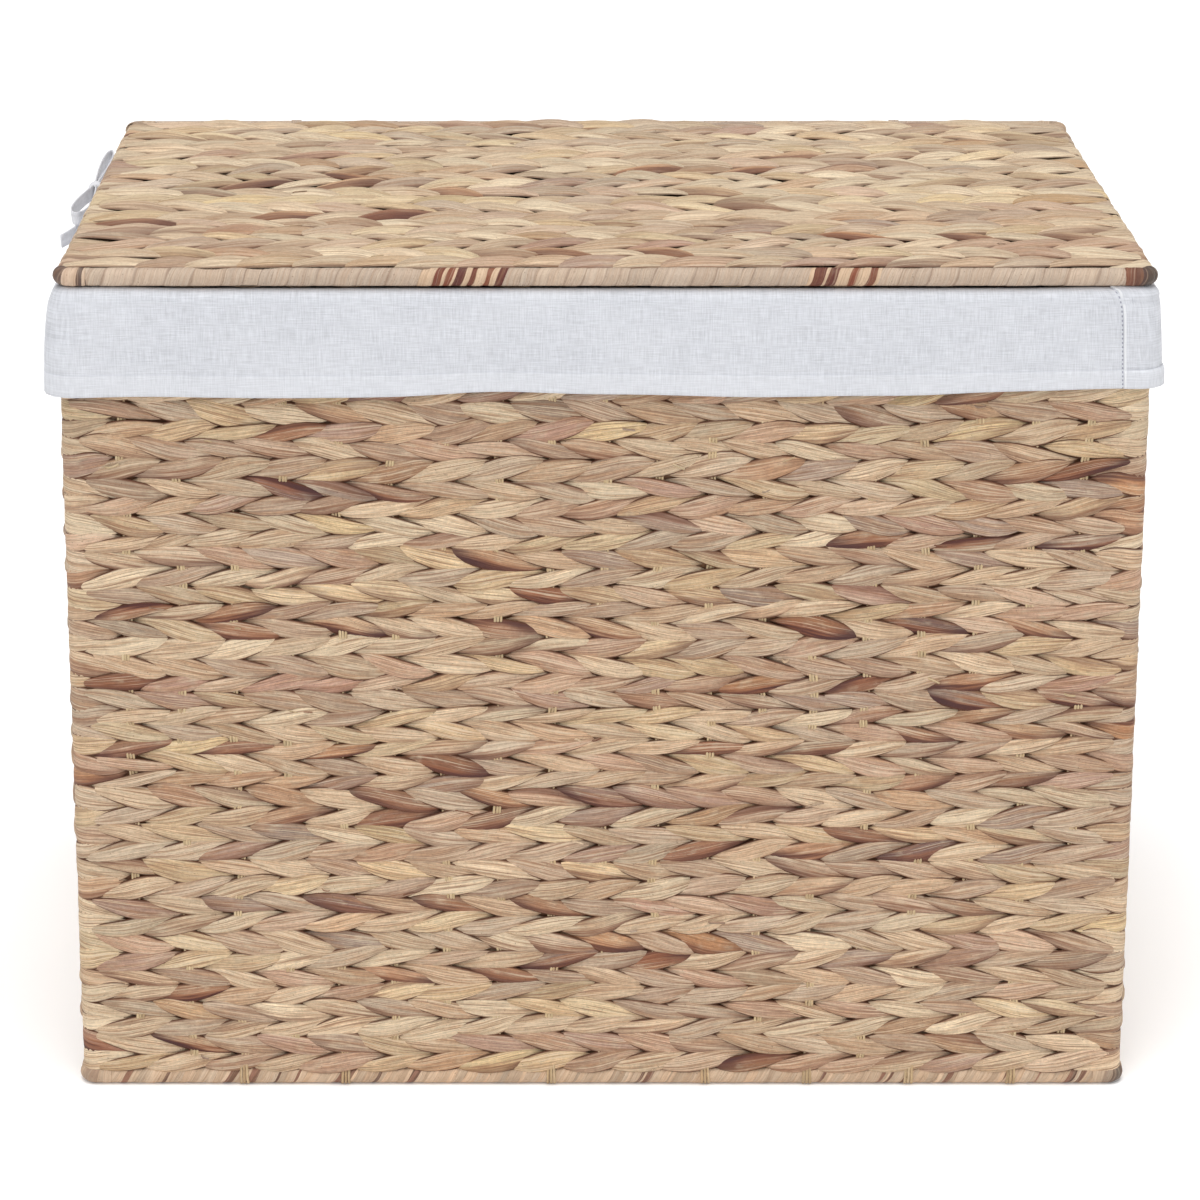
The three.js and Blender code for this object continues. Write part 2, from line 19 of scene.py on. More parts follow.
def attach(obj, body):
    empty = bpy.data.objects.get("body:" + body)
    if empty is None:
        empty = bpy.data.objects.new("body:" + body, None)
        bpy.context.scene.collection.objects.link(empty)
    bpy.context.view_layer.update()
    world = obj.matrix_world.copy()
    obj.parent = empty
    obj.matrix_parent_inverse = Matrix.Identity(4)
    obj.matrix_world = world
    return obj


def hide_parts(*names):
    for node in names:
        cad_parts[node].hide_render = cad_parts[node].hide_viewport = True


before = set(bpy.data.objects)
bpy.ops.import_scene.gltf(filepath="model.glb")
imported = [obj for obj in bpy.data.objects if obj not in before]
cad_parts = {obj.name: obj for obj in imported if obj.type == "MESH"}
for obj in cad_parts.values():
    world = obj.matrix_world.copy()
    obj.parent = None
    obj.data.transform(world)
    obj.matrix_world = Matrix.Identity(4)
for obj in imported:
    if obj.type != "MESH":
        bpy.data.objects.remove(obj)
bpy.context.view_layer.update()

MM = 0.001

SIDES = ("front", "right", "back", "left")
# The corner at which each side begins
CORNERS = ("front_left", "front_right", "back_right", "back_left")

# Lines and levels of the wires, and the radius of their bends and of the borders wound round them
LINE_X, LINE_Y = 295.0, 205.0
BASE_Z, RIM_Z, LID_Z = 5.0, 463.0, 475.0
BEND_R, BORDER_R = 5.4, 5.0
BINDING_LEG = 8.0

# Along the line of the wires: each side's length, where it ends, where the corners are, and once round
BEND_RUN = BEND_R * pi / 2
SIDE_RUNS = np.array([2 * (LINE_X - BEND_R) + BEND_RUN, 2 * (LINE_Y - BEND_R) + BEND_RUN] * 2)
SIDE_ENDS = np.cumsum(SIDE_RUNS)
CORNER_AT = np.r_[0, SIDE_ENDS]
RING_RUN = SIDE_ENDS[-1]

# The woven walls and panels, and the radius at which a panel's strands turn round its ends
WALL_BOTTOM, WALL_TOP = 10.0, 458.0
PANEL_EDGE = 199.3
PANEL_HALF = 294.3
PANEL_ROUND = 3.4
PANEL_RUN = 2 * PANEL_HALF + pi * PANEL_ROUND
WALL_COURSES, PANEL_COURSES = 43, 20

# How many stakes stand on a long and on a short side, how far apart, and the threads that they are made of
LONG_STAKES, LONG_PITCH = 19, 29.34
SHORT_STAKES, SHORT_PITCH = 13, 29.06
THREADS = (-1, 0, 1)
THREAD_R, THREAD_PITCH = 0.8, 1.6
# The stakes with a tie over the foot's front border, counted from the middle one
FRONT_TIES = (-7, -5, -1, 2, 4, 6, 8)

# The cuff: its turn over the rim, half its thickness, its drop outside and inside, its hem and its seam
CUFF_TURN, CUFF_SHEET = 5.6, 0.55
CUFF_DROP, CUFF_TUCK = 53.0, 23.0
HEM_HEIGHT = 12.0
HEM_TOP = CUFF_DROP - HEM_HEIGHT
SEAM_X, SEAM_OVERLAP = 280.4, 6.0
HINGE_X = 190.7

# The bow, as in the part's source
KNOT_Y, KNOT_OUT, BOW_Z = 100.8, 13.7, 458.0
KNOT_R, KNOT_DROP = 6.0, 13.0
BOW = np.array([-LINE_X, KNOT_Y, BOW_Z])
TAPE_WIDTH, TAPE_THICK = 8.0, 1.0
TAPE_TILT = radians(6)
# Each loop's reach and bulge
LOOP_FRONT, LOOP_BACK = (77.7, 4.5), (94.5, 2.2)
TAIL_REACH, TAIL_TUCK, TAIL_TIP, TAIL_FALL = 101.64, 1.5, 11.0, 58.0


def new_object(name, data):
    """An object in the scene."""
    made = bpy.data.objects.new(name, data)
    bpy.context.collection.objects.link(made)
    return made


def make_camera():
    """The photograph's view, from a perspective fit to the corners of the lid and of the foot."""
    data = bpy.data.cameras.new("photo_camera")
    data.sensor_width = 36
    data.lens = 120.62
    data.shift_x = 0.0479
    data.shift_y = -0.0833
    camera = new_object("photo_camera", data)
    camera.location = (-0.03412, -2.32671, 0.97780)
    camera.rotation_euler = (radians(90 - 16.51), 0, 0)
    bpy.context.scene.camera = camera


# Meshes

def linear(red, green, blue):
    """A colour given as 0 to 255 in sRGB, as linear values."""
    values = np.array([red, green, blue], float) / 255
    return np.where(values <= 0.04045, values / 12.92, ((values + 0.055) / 1.055) ** 2.4)


def triples(*values):
    """Vectors of three values, which fill out to one shape."""
    return np.stack(np.broadcast_arrays(*values), -1)


def spread(values):
    """Values that run over the grids, shaped to fill out to (grids, rows, cols)."""
    return np.asarray(values, float)[:, None, None]


class Pile:
    """Grids of points gathered into one mesh, with three vectors at each point for the materials. fibre: how
    far along the strand it is, how far across from -1 to 1, and the strand's own number. form: how far across
    the piece it is from -1 to 1, how far out from 0 to 1, and how stained. tone: its colour."""

    def __init__(self):
        self.points, self.faces = [], []
        self.layers = {"fibre": [], "form": [], "tone": []}
        self.count = 0

    def add(self, points, fibre, form, tone, round_cols=False, round_rows=False):
        """points is one grid or more, and the others have a shape that fills out to it."""
        points = points.reshape(-1, *points.shape[-3:])
        grids, rows, cols = points.shape[:3]
        row = np.arange(rows if round_rows else rows - 1)
        col = np.arange(cols if round_cols else cols - 1)
        r, c = np.meshgrid(row, col, indexing="ij")
        down, across = (r + 1) % rows, (c + 1) % cols
        quad = [r * cols + c, down * cols + c, down * cols + across, r * cols + across]
        starts = self.count + np.arange(grids) * rows * cols
        self.faces.append((starts[:, None, None] + np.stack(quad, -1).reshape(-1, 4)).reshape(-1, 4))
        self.points.append(points.reshape(-1, 3))
        for store, values in zip(self.layers.values(), (fibre, form, tone)):
            store.append(np.broadcast_to(values, points.shape).reshape(-1, 3))
        self.count += grids * rows * cols

    def make(self, name, material, nodes):
        """The piece, which stands for the CAD model's nodes and rides on the body that they belong to."""
        mesh = bpy.data.meshes.new(name)
        points, faces = np.concatenate(self.points) * MM, np.concatenate(self.faces)
        mesh.from_pydata(points.tolist(), [], faces.tolist(), shade_flat=False)
        for key, parts in self.layers.items():
            layer = mesh.attributes.new(key, "FLOAT_VECTOR", "POINT")
            layer.data.foreach_set("vector", np.concatenate(parts).ravel())
        mesh.materials.append(material)
        piece = new_object(name, mesh)
        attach(piece, "lid" if name.startswith("lid") else "basket")
        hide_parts(*nodes)
        return piece


# Places on the basket

def ring_place(s, z, d):
    """The point (s, z, d) on the walls or on a border."""
    s, z, d = np.broadcast_arrays(np.mod(s, RING_RUN), z, d)
    side = np.searchsorted(SIDE_ENDS, s, side="right").clip(0, 3)
    half = np.array([LINE_X, LINE_Y] * 2)[side]
    reach = np.array([LINE_Y, LINE_X] * 2)[side]
    along = s - (SIDE_ENDS - SIDE_RUNS / 2)[side]
    straight = half - BEND_R
    over = np.maximum(np.abs(along) - straight, 0)
    turn = np.sign(along) * over / BEND_R
    bend = BEND_R + d
    x = np.clip(along, -straight, straight) + bend * np.sin(turn)
    y = -(reach - BEND_R + bend * np.cos(turn))
    facing = np.array([1, 0, -1, 0])[side]
    turned = np.array([0, 1, 0, -1])[side]
    return triples(x * facing - y * turned, x * turned + y * facing, z)


def sideways_at(s):
    """The level direction along the wall at s."""
    return np.cross(ring_place(s, 0.0, 1.0) - ring_place(s, 0.0, 0.0), [0, 0, 1])


def loop_place(s, half, radius, lift):
    """Where a strand is that goes round two wires or a panel's ends, as (along, up). s runs along the top
    from its middle, round and back below, and lift is how far out from the ends' centres it lies."""
    run = 2 * half + pi * radius
    s = np.mod(s + run / 2, 2 * run) - run / 2
    along = np.where(s > run / 2, s - run, s)
    turn = np.sign(along) * np.maximum(np.abs(along) - half, 0) / radius
    sign = np.where(s > run / 2, -1, 1)
    return (np.clip(along, -half, half) + lift * np.sin(turn)) * sign, lift * np.cos(turn) * sign


def lid_place(s, y, d, level=LID_Z):
    """A point on a flat panel whose strands go round both of its ends."""
    x, rise = loop_place(s, PANEL_HALF, PANEL_ROUND, PANEL_ROUND - 2.6 + d)
    return triples(x, y, level + rise)


def floor_place(s, y, d):
    """The floor's panel is the lid's, drawn in to lie inside the foot's borders."""
    points = lid_place(s, y * 0.985, d - 0.7, BASE_Z)
    points[..., 0] *= (LINE_X - BORDER_R - 1) / (PANEL_HALF + 5)
    return points


def centred(count, pitch):
    """Places a pitch apart, with nought in their middle."""
    return (np.arange(count) - (count - 1) / 2) * pitch


def wall_stakes():
    """Where the stakes stand round the basket, a corner first, and the way once round."""
    places = []
    for side, (count, pitch) in enumerate([(LONG_STAKES, LONG_PITCH), (SHORT_STAKES, SHORT_PITCH)] * 2):
        places.append(SIDE_ENDS[side] - SIDE_RUNS[side])
        places.extend(SIDE_ENDS[side] - SIDE_RUNS[side] / 2 + centred(count, pitch))
    return np.array(places), RING_RUN


def panel_stakes():
    """Where the stakes cross the panel's loop, from the top's left end onwards, and the way once round."""
    top = centred(LONG_STAKES, LONG_PITCH)
    return np.r_[top, PANEL_RUN / 2, top + PANEL_RUN, 1.5 * PANEL_RUN], 2 * PANEL_RUN


def stake_at(stakes, number):
    """The distance s of a stake by its number, which may lie between two stakes or past the last one."""
    line, whole = stakes
    around = np.arange(-3, len(line) + 4)
    return np.interp(number, around, line[around % len(line)] + np.floor(around / len(line)) * whole)


# Colours of the strand, which is a dried water plant

STRAW = linear(228, 205, 173)
TAN = linear(206, 175, 144)
GREY = linear(175, 151, 134)
PINK = linear(194, 154, 133)
YELLOW = linear(223, 195, 150)
ORANGE = linear(190, 138, 98)
RED_BROWN = linear(142, 88, 64)
PLUM = linear(116, 84, 80)
PALE = linear(214, 190, 150)
# SHADOW is no colour of the strand but painted shade, for the slab that shows between the leaves
SHADOW = linear(118, 80, 56)
LID_TINT = np.array([1.03, 1.07, 1.1])

# How often straw, tan, grey, pink and yellow come, how often a dark stretch begins, and its colours
WALL_MIX = ([0.27, 0.33, 0.18, 0.11, 0.11], 0.042, [RED_BROWN, RED_BROWN, ORANGE, PLUM])
PANEL_MIX = ([0.5, 0.22, 0.09, 0.05, 0.14], 0.024, [ORANGE, ORANGE, RED_BROWN])


def strand_tones(rng, courses, count, mix):
    """A colour and a stain for each leaf. Every second leaf of a course is the same strand."""
    weights, dark_share, darks = mix
    calm = np.array([STRAW, TAN, GREY, PINK, YELLOW])
    tones = np.empty((courses, count, 3))
    stains = np.zeros((courses, count))
    for course in range(courses):
        base = calm[rng.choice(5, 2, p=weights)]
        dark_left = [0, 0]
        for i in range(count):
            strand = i % 2
            if rng.random() < 0.1:
                base[strand] = calm[rng.choice(5, p=weights)]
            own = calm[rng.choice(5, p=weights)]
            tone = 0.42 * base[strand] + 0.58 * own
            if rng.random() < 0.05:
                tone = 0.5 * tone + 0.5 * ORANGE
            if dark_left[strand] == 0 and rng.random() < dark_share:
                dark_left[strand] = int(rng.choice([1, 1, 2, 3]))
            if dark_left[strand]:
                dark_left[strand] -= 1
                dark = darks[rng.integers(len(darks))]
                tone = tone + (dark - tone) * rng.uniform(0.45, 1.0)
                stains[course, i] = rng.uniform(0.55, 1.0)
            tones[course, i] = tone * min(rng.normal(1.055, 0.11), 1.23)
    return tones, stains


# The weave

LEAF_ALONG = np.sin(np.linspace(-pi / 2, pi / 2, 15))
BENT_ALONG = np.linspace(-1, 1, 27)
LEAF_ACROSS = np.array([-1, -0.9, -0.66, -0.25, 0.25, 0.66, 0.9, 1])
LEAF_LENGTH = 29.3
LEAF_HALF_HEIGHT = 5.2
FULL_DEPTH = 5.4
PUFF_ROOM = 2.4


@dataclass
class Leaf:
    """The shape of a piece's leaves."""

    depth: float  # how far a leaf stands out
    full: float  # how much of that its ends keep, where it goes round a corner
    swell: float  # how puffed it is
    reach: float  # half its length, as a share of the distance between stakes
    slope: float  # how far its ends lie from the middle of the course
    taper: float  # low for pointed ends
    belly: float  # its height, as a share of the course's
    bent: bool = False  # whether it goes round a corner, which takes more points


WALL_LEAF = Leaf(depth=5.4, full=1.0, swell=1.1, reach=0.96, slope=0.62, taper=1.95, belly=1.05)
CORNER_LEAF = Leaf(depth=4.9, full=2.6, swell=0.3, reach=0.93, slope=0.6, taper=2.2, belly=1.12, bent=True)
LID_LEAF = Leaf(depth=6.1, full=1.8, swell=1.25, reach=0.98, slope=0.5, taper=1.85, belly=1.08)
LID_END_LEAF = Leaf(depth=5.3, full=2.6, swell=0.4, reach=0.93, slope=0.52, taper=2.4, belly=1.14, bent=True)
FLOOR_LEAF = Leaf(depth=4.1, full=0.8, swell=0.8, reach=0.98, slope=0.5, taper=1.85, belly=1.08)

# Between which rows the weave wanders, and how far
WALL_WANDER = (WALL_BOTTOM, WALL_TOP, 1.15)
PANEL_WANDER = (-PANEL_EDGE, PANEL_EDGE, 1.2)


def course_lines(rng, low, high, count, uneven):
    """The middles and half heights of courses that fill low to high, some a little taller than others."""
    heights = 1 + rng.normal(0, uneven, count).clip(-2.2 * uneven, 2.2 * uneven)
    edges = low + (high - low) * np.r_[0, np.cumsum(heights)] / heights.sum()
    return (edges[:-1] + edges[1:]) / 2, (edges[1:] - edges[:-1]) / 2


def wall_courses():
    """The courses of the walls. The lowest lies against the foot's border."""
    return course_lines(default_rng(7), WALL_BOTTOM - 0.8, WALL_TOP, WALL_COURSES, 0.09)


def drift(s, r, whole, low, high, size):
    """How far the weave wanders along and across its courses. Both edges stay still, and it closes."""
    turn = 2 * pi * s / whole
    calm = np.clip((r - low) / 14, 0, 1) * np.clip((high - r) / 14, 0, 1)
    across = np.sin(7 * turn + r / 31 + 1) + 0.8 * np.sin(17 * turn - r / 19 + 2)
    across = across + 0.55 * np.sin(38 * turn + r / 13)
    along = np.sin(5 * turn + r / 23) + 0.8 * np.sin(11 * turn - r / 9 + 1)
    return size * along * calm, size * 0.85 * across * calm


def weave(pile, place, stakes, places, courses, leaf, tones, rng, wander):
    """Leaves of twined strand, one for each stake of places in each course. A leaf is a slanted lens that
    stands out over its stake and dips behind its neighbours at both ends. Each course leans the other way."""
    middles, halves = courses
    course, index = [a.ravel() for a in np.meshgrid(np.arange(len(middles)), places, indexing="ij")]
    number = len(course)

    def each(low, high):
        return spread(rng.uniform(low, high, number))

    lean = spread(np.where(course % 2 == 0, -1, 1))
    loose = min(leaf.swell, 1)
    slipped = (rng.random(number) < 0.09) * rng.choice([-1.2, 1.2], number)
    middle = spread(middles[course] + rng.normal(0, 0.45, number) + slipped * loose)
    half = spread(halves[course]) * each(1.02, 1.14)

    # v runs along the leaf and u across it, both from -1 to 1, and out is how far it has come out from behind
    v, u = (BENT_ALONG if leaf.bent else LEAF_ALONG)[:, None], LEAF_ACROSS
    out = np.cos(v * pi / 2)
    centre = (leaf.slope + each(-0.09, 0.09)) * np.sin(v * pi / 2)
    thin = rng.random(number) < 0.05
    belly = np.where(thin, rng.uniform(0.66, 0.8, number), rng.uniform(0.88, 1.12, number))
    belly = leaf.belly * spread(belly)
    skew = spread(rng.normal(0, 0.12, number))
    wide = belly * (1 - np.abs(v) ** (leaf.taper + each(-0.2, 0.2))) * (1 + skew * v) + 0.05
    step = leaf.reach * each(0.93, 1.07) * v + spread(rng.normal(0, 0.04, number)) + 0 * u
    s = stake_at(stakes, spread(index) + step)
    row = middle + half * (u * wide - lean * centre)

    puff = each(1.2, 2.3) * (leaf.depth / FULL_DEPTH) * leaf.swell
    d = 0.2 + (leaf.depth - PUFF_ROOM - leaf.full) * out**0.8 + leaf.full * np.clip(out * 3, 0, 1)
    d = d + puff * (1 - np.abs(u) ** each(2.2, 3.8)) * (0.35 + 0.65 * out)
    d = d + loose * (each(-0.5, 0.5) * u * out + each(-0.3, 0.3) * out)
    over = spread(rng.choice([-0.7, 0.7], len(middles))[course])
    d = d + over * np.sin(v * pi) * loose
    along, aside = drift(s, row, stakes[1], *wander)
    points = place(s + along, row + aside, d)

    lines = u * (0.5 + 0.5 * wide / belly) * (half / LEAF_HALF_HEIGHT)
    fibre = triples(v * leaf.reach * LEAF_LENGTH, lines, spread(rng.random(number)))
    colours, stains = tones
    faint = rng.random(number) < 0.2
    stain = np.maximum(stains[course, index], np.where(faint, rng.uniform(0.15, 0.5, number), 0))
    lower_side = np.where(rng.random(number) < 0.8, 1, -1)
    # form carries u and out, from which the strand material paints shade at a leaf's edges and at its tucked
    # ends
    form = triples(u, out, spread(stain * lower_side))
    pile.add(points, fibre, form, colours[course, index][:, None, None, :])


def slab_behind(pile, place, s_span, r_span, d_span, tone, steps):
    """The inner half of the weave, as one closed slab that shows only between the leaves, in a dark tone of
    painted shade.
    """
    s = np.linspace(*s_span, steps)[:, None]
    near, far = d_span
    ring = [(near, r_span[0]), (near, r_span[1]), (far, r_span[1]), (far, r_span[0])]
    for (d_from, r_from), (d_to, r_to) in zip(ring, ring[1:] + ring[:1]):
        points = place(s, np.array([r_from, r_to]), np.array([d_from, d_to]))
        pile.add(points, triples(s, [-1.0, 1.0], 0.0), np.zeros(3), tone)


def frays(pile, place, s_span, r_span, towards, number, rng):
    """Loose ends of strand that come out between the leaves and lie on them."""
    t = np.linspace(0, 1, 8)
    for _ in range(number):
        s, r = rng.uniform(*s_span), rng.uniform(*r_span)
        length, slope, bow = rng.uniform(4, 12), rng.uniform(-0.45, 0.45), rng.uniform(-1.2, 1.2)
        d = 1.8 + 3.5 * np.clip(t * 3, 0, 1) ** 0.7 + rng.uniform(0, 0.7) * t
        centres = place(s + length * t, r + slope * length * t + bow * np.sin(pi * t), d)
        tone = (STRAW * 1.15, PALE, RED_BROWN * 0.8, GREY)[rng.integers(4)]
        band(pile, centres, towards, rng.uniform(0.35, 0.8), 0.18, tone, rng.random(), sides=6)


def wall_pieces(material):
    """The four walls and the four corners between them."""
    rng = default_rng(11)
    stakes = wall_stakes()
    courses = wall_courses()
    tones = strand_tones(rng, WALL_COURSES, len(stakes[0]), WALL_MIX)
    groups = []
    first = 0
    for side, corner, count in zip(SIDES, CORNERS, [LONG_STAKES, SHORT_STAKES] * 2):
        groups.append((f"corner_weave_{corner}", np.array([first]), CORNER_LEAF))
        groups.append((f"wall_{side}", first + 1 + np.arange(count), WALL_LEAF))
        first += count + 1
    for name, places, leaf in groups:
        pile = Pile()
        weave(pile, ring_place, stakes, places, courses, leaf, tones, rng, WALL_WANDER)
        s_span = stake_at(stakes, [places[0] - 0.5, places[-1] + 0.5])
        # The slab's tone is painted shade: SHADOW between the leaves, and tan darkened at the corners
        near, tone, steps = (1.9, TAN * 0.6, 21) if leaf.bent else (0.5, SHADOW, 3)
        slab_behind(pile, ring_place, s_span, (WALL_BOTTOM, WALL_TOP), (near, -4.3), tone, steps)
        if not leaf.bent:
            fray_s, fray_z = (s_span[0], s_span[1] - 14), (WALL_BOTTOM + 8, WALL_TOP - 8)
            frays(pile, ring_place, fray_s, fray_z, (0, 0, 1), len(places) * 2, rng)
        pile.make(f"{name}_woven", material, [name])


def panel_pieces(lid_material, floor_material):
    """The lid's panel, woven round its side wires, and the floor's."""
    rng = default_rng(23)
    stakes = panel_stakes()
    ends = np.array([LONG_STAKES, 2 * LONG_STAKES + 1])
    between = np.setdiff1d(np.arange(len(stakes[0])), ends)
    edge, half = PANEL_EDGE - 0.4, PANEL_HALF - 4
    for name, place, reach, leaf, end_leaf, material in (
        ("lid_weave", lid_place, PANEL_EDGE + 2, LID_LEAF, LID_END_LEAF, lid_material),
        ("base_weave", floor_place, PANEL_EDGE, FLOOR_LEAF, FLOOR_LEAF, floor_material),
    ):
        courses = course_lines(rng, -reach, reach, PANEL_COURSES, 0.12)
        colours, stains = strand_tones(rng, PANEL_COURSES, len(stakes[0]), PANEL_MIX)
        tones = (colours * LID_TINT, stains)
        pile = Pile()
        weave(pile, place, stakes, between, courses, leaf, tones, rng, PANEL_WANDER)
        weave(pile, place, stakes, ends, courses, end_leaf, tones, rng, PANEL_WANDER)
        for middle in (0, PANEL_RUN):
            slab_behind(pile, place, (middle - half, middle + half), (-edge, edge), (0.2, -1.6), SHADOW, 3)
        if name == "lid_weave":
            frays(pile, place, (10 - half, half - 10), (8 - edge, edge - 8), (0, 1, 0), 34, rng)
        pile.make(f"{name}_woven", material, [name])


# Borders: strand wound round the wires

LID_BORDER_TONE = linear(196, 176, 157)
FOOT_BORDER_TONE = linear(205, 178, 151)
RIM_BORDER_TONE = linear(206, 180, 150)

# Each border's height and radius, its narrowest and widest band, how far these move on and how far they bulge
Border = namedtuple("Border", "level radius widths lead lift")
FOOT_WRAP = Border(BASE_Z, 4.75, (1.1, 4.2), 16, 0.28)
RIM_WRAP = Border(RIM_Z, 4.4, (5, 12), 11, 0.34)
LID_WRAP = Border(LID_Z, 4.85, (4, 18), 9.5, 0.14)
FOOT_BINDING = Border(BASE_Z, 4.85, (2.2, 5), 5, 0.2)
LID_BINDING = Border(LID_Z, 4.9, (1.8, 3.6), 4, 0.2)

# A lid binding's tones at its bend and beside it, how uneven they are and its share of dark rings
BACK_BINDING = (linear(168, 146, 126), linear(196, 174, 150), 0.1, 0.0)
FRONT_BINDINGS = {
    "front_right": (linear(62, 57, 56), linear(132, 84, 66), 0.12, 0.0),
    "front_left": (linear(196, 170, 148), linear(206, 180, 156), 0.12, 0.42),
}

# Where dark bands of the lid's front border begin and end, from the middle of the basket
LEFT_STRIPES = ((-93, -88.5), (-87, -83), (-82, -76.5), (-74, -70.5), (-65.4, -61.8), (-58.9, -54.8))
RIGHT_STRIPES = ((112, 118), (119.5, 125), (132, 135.6), (141.6, 145.6))


def band_edges(rng, start, end, widths, stripes):
    """Where each band of a border begins. Edges in or close to a stripe give way to the stripe's own."""
    edges = [start]
    while edges[-1] < end:
        edges.append(edges[-1] + rng.uniform(*widths))
    edges = np.array(edges)
    edges = start + (edges - start) * (end - start) / (edges[-1] - start)
    clear = [edge for edge in edges if all(edge < low - 1.5 or edge > high + 1.5 for low, high in stripes)]
    return np.sort(np.r_[clear, np.ravel(stripes)])


def wind(node, material, rng, border, span, tone_at, stripes=()):
    """The piece for a border: strand wound round it in bands, which each go once round and move on by lead.
    What would pass the border's ends is drawn in there, so that they are closed."""
    edges = band_edges(rng, *span, border.widths, stripes)
    start, end = edges[0], edges[-1]
    more = np.arange(1, ceil(border.lead / 2 / 4) + 2) * 4
    edges = np.r_[start - more[::-1], edges, end + more]
    low, high = spread(edges[:-1]), spread(edges[1:])
    number = len(edges) - 1
    turn = np.linspace(-pi, pi, 19)[:, None]
    across = np.array([-1, -0.9, -0.6, 0.0, 0.6, 0.9, 1])
    rise = np.array([-0.7, 0.3, 0.8, 1, 0.8, 0.3, -0.7])
    s = low + (high - low) * (across + 1) / 2 + 0.4 * across + border.lead * turn / (2 * pi)
    s = s + 0.3 * np.sin(2.0 * turn + spread(rng.uniform(0, 6.3, number)))
    inside = np.clip(s, start - 0.4, end + 0.4)
    r = border.radius + border.lift * rise * spread(rng.uniform(0.5, 1.1, number))
    r = r + spread(rng.normal(0, 0.07, number))
    r = r * np.clip(1 - np.abs(s - inside) / 5, 0.15, 1)
    points = ring_place(inside, border.level + r * np.sin(turn), r * np.cos(turn))
    fibre = triples(turn * border.radius, across * (high - low) / 9, spread(rng.random(number)))
    form = triples(across, 0.85 + 0 * turn, 0 * low)
    pile = Pile()
    pile.add(points, fibre, form, tone_at((edges[:-1] + edges[1:]) / 2, rng)[:, None, None, :])
    pile.make(f"{node}_wound", material, [node])


def border_tones(base, uneven, dark_share=0.0, stripes=()):
    """Bands of nearly one colour, some greyer and some yellower, and a share of the narrow ones dark, as
    painted shadow lines between the bands. Stripes are red-brown to nearly black, with pale bands beside
    them."""

    def choose(middles, rng):
        single = (len(middles), 1)
        shade = base * rng.normal(1, uneven, single)
        warm = rng.normal(0.01, uneven * 0.2, single)
        shade = shade * np.concatenate([1 + warm, np.ones(single), 1 - warm], axis=1)
        # Painted shade: narrow bands made dark stand for the shadow lines between the bands
        dark = (rng.random(len(middles)) < dark_share) & (np.gradient(middles) < 2.5)
        shade = np.where(dark[:, None], linear(146, 106, 88) * rng.uniform(0.4, 1.1, single), shade)
        if len(stripes) == 0:
            return shade
        at = middles[:, None]
        away = np.maximum(stripes[:, 0] - at, at - stripes[:, 1]).min(axis=1)[:, None]
        share = rng.random(single)
        deep = linear(150, 82, 56) * (1 - share) + linear(84, 46, 46) * share
        pale = linear(216, 186, 156) * rng.uniform(0.85, 1.05, single)
        return np.where(away < 0, deep, np.where(away < 4, pale, shade))

    return choose


def corner_tones(corner, at_bend, beside, uneven, ring_share):
    """Bindings have one colour at the bend and another beside it, and a share of their bands is dark."""

    def choose(middles, rng):
        away = np.clip((np.abs(middles - corner) - BEND_RUN * 0.3) / BINDING_LEG, 0, 1)[:, None] ** 0.6
        shade = at_bend * (1 - away) + beside * away
        shade = shade * rng.uniform(1 - uneven, 1 + uneven, (len(middles), 1))
        ring = rng.random(len(middles)) < ring_share
        return np.where(ring[:, None], linear(104, 84, 76), shade)

    return choose


def border_pieces(material):
    """The wrapped borders of the foot, the rim and the lid, and the bindings at their corners."""
    rng = default_rng(37)
    bend = BEND_RUN / 2
    # The foot's share of dark narrow bands is painted shade between its bands
    foot_tones = border_tones(FOOT_BORDER_TONE, 0.11, 0.3)
    rim_tones = border_tones(RIM_BORDER_TONE, 0.06)
    for side, name in enumerate(SIDES):
        on_lid = name in ("front", "back")
        low, high = CORNER_AT[side] + bend, CORNER_AT[side + 1] - bend
        span = (low + BINDING_LEG, high - BINDING_LEG)
        wind(f"base_wrap_{name}", material, rng, FOOT_WRAP, span, foot_tones)
        wind(f"rim_wrap_{name}", material, rng, RIM_WRAP, (low - 1, high + 1), rim_tones)
        if on_lid:
            stripes = (low + high) / 2 + np.array(LEFT_STRIPES + RIGHT_STRIPES) if name == "front" else ()
            tones = border_tones(LID_BORDER_TONE, 0.04, stripes=stripes)
            wind(f"lid_wrap_{name}", material, rng, LID_WRAP, span, tones, stripes)
        corner, at = CORNERS[(side + 1) % 4], CORNER_AT[side + 1]
        at_bend = linear(104, 90, 82) if corner == "front_right" else linear(178, 152, 130)
        tones = corner_tones(at, at_bend, FOOT_BORDER_TONE, 0.14, 0.0)
        span = (at - bend - BINDING_LEG, at + bend + BINDING_LEG)
        wind(f"base_binding_{corner}", material, rng, FOOT_BINDING, span, tones)
        # The lid's bindings reach along its front and back borders only
        before, after = (BINDING_LEG, 0.0) if on_lid else (0.0, BINDING_LEG)
        tones = corner_tones(at, *FRONT_BINDINGS.get(corner, BACK_BINDING))
        span = (at - bend - before, at + bend + after)
        wind(f"lid_binding_{corner}", material, rng, LID_BINDING, span, tones)


# Threads and tape

def run_length(centres):
    """How far along its points a path is, at each of them."""
    steps = np.linalg.norm(np.diff(centres, axis=0), axis=1)
    return np.r_[0, np.cumsum(steps)]


